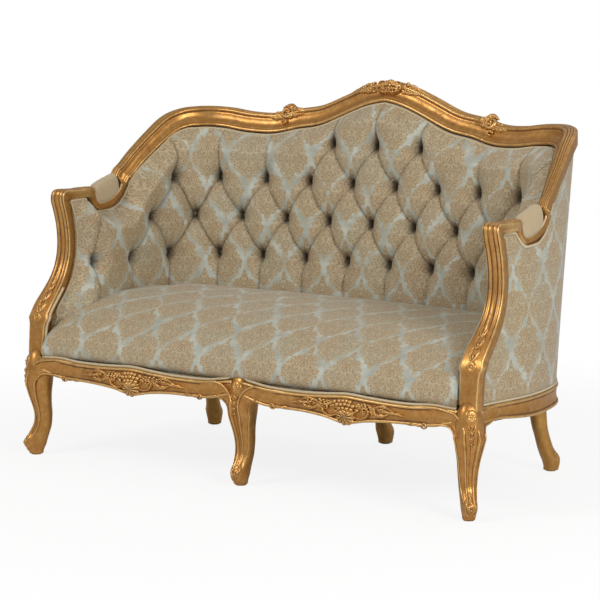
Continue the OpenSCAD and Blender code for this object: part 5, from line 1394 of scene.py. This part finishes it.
def knee_moulding(corner, hand):
    """The rail's moulding arching beside the knee and down the leg to the toe; hand is 1 on the right."""
    inset, turn = (-3.0, 48.0) if corner else (23.0, 48.0)
    way = -1 if corner else hand
    base = LEG_X if corner else 0.0
    flat = [(inset + 48 + reach, 258) for reach in (104, 66, 30, 0)]
    flat += [(inset + 48 - turn * math.cos(math.radians(a)), 210 + 48 * math.sin(math.radians(a)))
             for a in (67.5, 45, 22.5, 0)]
    points, outs, width = [], [], []
    for i, (reach, z) in enumerate(flat):
        down = max(0.0, (i - 3) / 4) ** 1.2
        if corner and hand > 0:
            k, front_k = (wall_share_at(FRONT_Y + y) for y in (POST_W / 2 + max(reach, 28), POST_W))
            q, n = wall_raw(np.array([k]), RAIL_TOP)[0], wall_out(np.array([k]), RAIL_TOP)[0]
            rail, face = np.array((q[0], FRONT_Y + POST_W / 2 + reach, z)), np.array((n[0], n[1], 0.0))
            low, high = float(side_low((k - REAR_JOINT) / (front_k - REAR_JOINT))), RAIL_TOP + LIP_H
        else:
            g = np.clip((abs(base + way * reach) - SPAN_FROM) / (SPAN_TO - SPAN_FROM), 0, 1)
            rail, face = np.array((base + way * reach, float(span_face(g)), z)), np.array((0, -1.0, 0.0))
            low, high = float(span_low(g)), float(span_high(g))
        if i < 3:
            rail[2] = (low + high) / 2 + 0.4
        width.append((high - low) / 2 - 0.6 if i < 3 else 22.0)
        side, n = (np.array(v, float) for v in leg_side_place(corner, hand, z, 45 if corner else 40))
        if corner and hand > 0:
            rail[0] = mix(rail[0], side[0], down)
        else:
            rail[1] = mix(rail[1], side[1], down)
        points.append(rail)
        outs.append(mix(face, unit(n), down))
    for z in (188, 164, 138, 112, 88, 66, 46):
        p, n = leg_side_place(corner, hand, z, (45 if corner else 40) - 10 * (188 - z) / 142)
        points.append(p)
        outs.append(n)
    width = width[:4] + [21.5, 20.5, 19, 17, 15, 13, 11.2, 10, 9, 8, 6]
    lift = [-6.5, -2.9, -0.4, 1.0, 1.2, 1.2, 1.2, 1.2, 1.0, 0.8, 0.6, 0.6, 0.6, 0.4, -1.5]
    return moulding(points, outs, width, lift)


def knee_carving(corner):
    """A ringed rosette on the knee with a drop of husks below it."""
    g = knee_ground(corner)
    parts = [mound(g, (0, 270), (17, 17), 5, around=28, dish=0.9, rings=10), flower(g, (0, 270), 13, 6.5, 6)]
    for z, size in ((243, 8), (226, 7), (211, 6), (198, 5)):
        parts.append(mound(g, (0, z), (size * 0.55, size), 5.5, petals=3, around=18))
        for s in (1, -1):
            midrib = [(s * 1, z - size), (s * size * 0.9, z - size * 0.3), (s * size * 1.3, z + size * 0.9)]
            parts.append(blade(g, midrib, [1, size * 0.32, 0.6], [3, 4.5, 2], steps=14))
    return join(*parts, blade(g, [(0, 192), (0, 160), (0, 110), (0, 70)],
                              [2.6, 2.4, 1.8, 1.2], [3.4, 3, 2.2, 1.6]))


def toe_carving(corner):
    """Leaves wrapping the toe, over a scrolled nose."""
    g = knee_ground(corner)
    parts = [curl(g, (0, 37), 9, 90, 1.1, 3.0, 5)]
    for s in (1, -1):
        parts += [blade(g, laid(0, s, (3, 22), (9, 34), (13, 48), (10, 60)),
                        [3, 5, 4, 1], [3, 5, 4, 2], lobes=2, veins=4, steps=24),
                  blade(g, laid(0, s, (5, 12), (11, 18), (15, 28), (17, 38)),
                        [2.5, 4, 3, 1], [2.5, 4, 3, 1.5], lobes=1.5, veins=3, steps=20)]
    return join(*parts, blade(g, [(0, 46), (0, 56), (0, 68), (0, 78)],
                              [3, 5, 4, 0.8], [3, 5, 4, 1.5], lobes=1.5, veins=4, steps=24))


def stump_ground(a, b, h):
    """Face of the right-hand stump: a across it, b up."""
    a, b, h = aligned(a, b, h)
    return stack(STUMP_X + a, stump_front(b) - 0.5 - h * 0.86, b + h * 0.5 * np.clip((b - 380) / 40, 0, 1))


def stump_carving():
    """A round boss on the stump's block with a leaf climbing the reeds."""
    g = stump_ground
    parts = [mound(g, (2, 392), (14, 14), 6, around=28, dish=0.9, rings=10),
             mound(g, (2, 392), (5, 5), 7, around=14)]
    for z, size in ((418, 21), (446, 18), (470, 15)):
        for s in (1, -1):
            midrib = laid(0, s * size, (0, z - size * 0.7), (0.42, z - size * 0.1),
                          (0.5, z + size * 0.6), (0.2, z + size))
            parts.append(blade(g, midrib, [1.5, size * 0.24, size * 0.18, 0.6],
                               [4, 6, 5, 2], lobes=2, veins=4, steps=22))
        parts.append(mound(g, (0, z - size * 0.1), (3.6, 6), 6.5, around=12))
    return join(*parts, blade(g, [(0, 470), (0, 490), (0, 508), (0, 522)],
                              [3, 5, 3.5, 0.6], [4.5, 6, 5, 3], lobes=1.5, veins=4, steps=22))


def step_carving():
    """A leaf lying over the arm's step, its end rolled down at the back."""
    def g(a, b, h):
        a, b, h = aligned(a, b, h)
        x = np.interp(b, [100, 240], [STUMP_X, STEP_END_X])
        y, z = np.concatenate([[(100, 737)], OVER_ARM[3:, :2], [(242, 738)]]).T
        top = np.interp(b, y, z)
        return stack(x + a, b, top - 0.4 + h)
    parts = [blade(g, [(0, 150), (0, 178), (0, 205), (0, 236)],
                   [5, 13, 15, 8], [2, 4.5, 5, 4], lobes=3, veins=6)]
    for s in (1, -1):
        parts.append(blade(g, laid(0, s, (5, 160), (14, 180), (17, 205), (12, 232)),
                           [3, 5, 5, 2], [2, 4, 4, 3], lobes=2, veins=4, steps=30))
    return join(*parts, mound(g, (0, 238), (15, 5), 4, around=24))


def rear_boss():
    """A small scrolled boss on the outer side of a corner rear leg's toe."""
    x, y, _ = wall(REAR_JOINT, RAIL_TOP, RAIL_TH / 2)
    f = (46 - SOLE_H) / (RAIL_LOW - SOLE_H)
    size = REAR_W * float(fine(LEG_HEIGHT, REAR_SIZE, f))
    sway = REAR_KICK * float(fine(LEG_HEIGHT, REAR_SWAY, f))

    def ground(a, b, h):
        a, b, h = aligned(a, b, h)
        return stack(*turned(x, y, REAR_TURN, sway + size * 0.16 + a, -(size / 2 * 0.97 + h)), b)
    boss = curl(ground, (0, 46), 7.5, 90, 1.0, 2.2, 3.6)
    return join(boss, mound(ground, (0, 46), (3, 3), 4.5, around=12))


# The pieces
def both(bm, name, material, node, slot, **options):
    """The right-hand piece and its mirror image, each standing for its own node."""
    twin = mirrored(bm)
    for side, half in (("right", bm), ("left", twin)):
        finish_mesh(half, f"{name}_{side}", material, f"{node}_{side}", slot, **options)


def carved(make, bm, name, node):
    make(bm, name, GILT, node, "gilt_wood", hollow=True)


def plain_gilt(make, bm, name, node):
    make(bm, name, PALE_GILT, node, "plain_gilt_wood", hollow=True)


def front_leg(corner):
    return join(leg_core(corner), knee_moulding(corner, 1), knee_moulding(corner, -1))


def back_rail():
    k = np.linspace(-REAR_JOINT, REAR_JOINT, 90)
    line = wall(k, RAIL_TOP)[:, :2]
    out = unit(wall(k, RAIL_TOP, -1)[:, :2] - line)
    return loft(seat_rail_rings(line, out, np.full(90, RAIL_LOW), np.full(90, RAIL_TOP + LIP_H)))


wing = top_rail(SHOULDER, WING_END, 200, mix(SHOULDER, WING_END, 0.85))
carved(finish_mesh, top_rail(-SHOULDER, SHOULDER, 150), "carved_crest", "crest_rail")
carved(both, wing, "wing", "wing_rail")
carved(both, arm_dip(), "arm_band", "arm_rail")
carved(both, arm_stump(), "reeded_stump", "arm_stump")
carved(both, front_rail(), "moulded_front_rail", "front_rail")
carved(both, side_rail(), "moulded_side_rail", "side_rail")
carved(both, front_leg(True), "corner_cabriole", "front_leg")
carved(finish_mesh, front_leg(False), "centre_cabriole", "front_leg_centre")
carved(finish_mesh, cartouche(), "crest_flowers", "crest_cartouche")
plain_gilt(both, join(rear_leg(False), rear_boss()), "rear_cabriole", "rear_leg")
plain_gilt(finish_mesh, rear_leg(True), "rear_centre_cabriole", "rear_leg_centre")

carved(finish_mesh, paired(shoulder_scroll()), "shoulder_scroll_pair", "shoulder_scrolls")
carved(both, rail_carving(), "rail_shell_and_sprays", "rail_carving")
carved(finish_mesh, join(paired(knee_carving(True)), knee_carving(False)), "knee_flowers", "knee_rosettes")
carved(finish_mesh, join(paired(toe_carving(True)), toe_carving(False)), "toe_leaves", "toe_scrolls")
carved(finish_mesh, paired(join(stump_carving(), step_carving())), "stump_leaves", "stump_rosettes")
plain_gilt(finish_mesh, back_rail(), "plain_back_rail", "back_rail")

PADDED_NODES = ("inside_back", "inside_arm_left", "inside_arm_right")
finish_mesh(padding(), "buttoned_lining", DAMASK, PADDED_NODES, "damask", pad=0.8)
finish_mesh(covered_buttons(), "covered_buttons", DAMASK, "back_buttons", "damask")
finish_mesh(seat(), "sprung_seat", DAMASK, "seat_cushion", "damask", pad=0.9)
both(arm_pad(), "arm_cushion", ARM_CLOTH, "arm_pad", "plain_cloth", pad=0.8)
finish_mesh(outside_back(), "outside_back_cloth", DAMASK, "outside_back", "damask", pad=1.0)
both(outside_arm(), "outside_arm_cloth", DAMASK, "outside_arm", "damask", pad=1.0)

finish_mesh(lining_braid(), "lining_gimp", GIMP, slot="gimp")
finish_mesh(outside_braid(), "outside_gimp", GIMP, "arm_gimp", "gimp")
finish_mesh(join(seat_braid(), paired(stump_braid())), "seat_edge_gimp", GIMP, "seat_gimp", "gimp")
finish_mesh(paired(arm_braid()), "arm_pad_gimp", GIMP, slot="gimp")

FINISHES = {"raw_wood": BEECH, "steel": STEEL, "hessian": JUTE, "dust_cloth": LINING, "gimp": GIMP,
            "gilt_wood": GILT, "plain_gilt_wood": PALE_GILT, "damask": DAMASK, "plain_cloth": ARM_CLOTH}
for entry in frame["record"]["subparts"]:
    node_mesh = frame["nodes"][entry["node"]].data
    node_mesh.materials.clear()
    node_mesh.materials.append(FINISHES[entry["material_slot"]])

# Floor, lights and camera
floor_mesh = bmesh.new()
bmesh.ops.create_grid(floor_mesh, x_segments=1, y_segments=1, size=14)
floor_data = bpy.data.meshes.new("floor")
floor_mesh.to_mesh(floor_data)
floor = bpy.data.objects.new("floor", floor_data)
bpy.context.scene.collection.objects.link(floor)
white = Finish("white_floor", Roughness=1.0)
far = white.node("ShaderNodeVectorMath", {"operation": "LENGTH"}, {0: white.object_place()}, "Value")
mottle = white.noise(white.object_place(), 3)
white.show(Base_Color=white.tint(colour(232, 232, 232), colour(238, 238, 238), mottle))
glow = white.node("ShaderNodeEmission", None, {"Color": (1, 1, 1, 1), "Strength": 1.0})
seen = white.node("ShaderNodeLightPath", None, None, "Is Camera Ray")
share = seen * (0.86 + far.between(0.9, 2.1) * 0.14)
matt = Value(white, white.surface.outputs[0])
faded = white.node("ShaderNodeMixShader", None, {0: share, 1: matt, 2: glow})
white.tree.links.new(faded.socket, white.tree.nodes["Material Output"].inputs["Surface"])
floor_data.materials.append(white.material)

world = bpy.data.worlds.new("studio")
world.use_nodes = True
bpy.context.scene.world = world
tree = world.node_tree
path, choose = (tree.nodes.new(kind) for kind in ("ShaderNodeLightPath", "ShaderNodeMixShader"))
tree.links.new(path.outputs["Is Camera Ray"], choose.inputs["Fac"])
for place, tone, strength in ((1, (1.0, 0.99, 0.98, 1), 0.46), (2, (1, 1, 1, 1), 1.0)):
    sky = tree.nodes.new("ShaderNodeBackground")
    sky.inputs["Color"].default_value, sky.inputs["Strength"].default_value = tone, strength
    tree.links.new(sky.outputs["Background"], choose.inputs[place])
tree.links.new(choose.outputs["Shader"], tree.nodes["World Output"].inputs["Surface"])


def soft_light(name, place, aim, size, power, tone):
    lamp = bpy.data.lights.new(name, "AREA")
    lamp.shape, lamp.size, lamp.energy, lamp.color = "DISK", size, power, tone
    lit = bpy.data.objects.new(name, lamp)
    lit.location = place
    lit.rotation_euler = (Vector(aim) - Vector(place)).to_track_quat("-Z", "Y").to_euler()
    bpy.context.scene.collection.objects.link(lit)


soft_light("key", (-1.6, -3.6, 3.4), (0, 0, 0.6), 1.6, 80, (1.0, 0.98, 0.95))
soft_light("side", (3.6, -1.6, 2.2), (0, 0, 0.6), 1.4, 86, (1.0, 0.99, 0.98))
soft_light("top", (0.4, 1.6, 3.4), (0, 0, 0.7), 2.2, 10, (1.0, 0.99, 0.98))

# The view from which the settee's picture was taken, found from pairs of matching left and right points.
camera = bpy.data.cameras.new("camera")
camera.lens, camera.sensor_width = 160.2, 36
viewer = bpy.data.objects.new("camera", camera)
viewer.location = (4.218, -5.987, 1.522)
viewer.rotation_euler = (math.radians(81.747), 0, math.radians(35.545))
bpy.context.scene.collection.objects.link(viewer)
bpy.context.scene.camera = viewer
bpy.context.scene.view_settings.view_transform = "Standard"
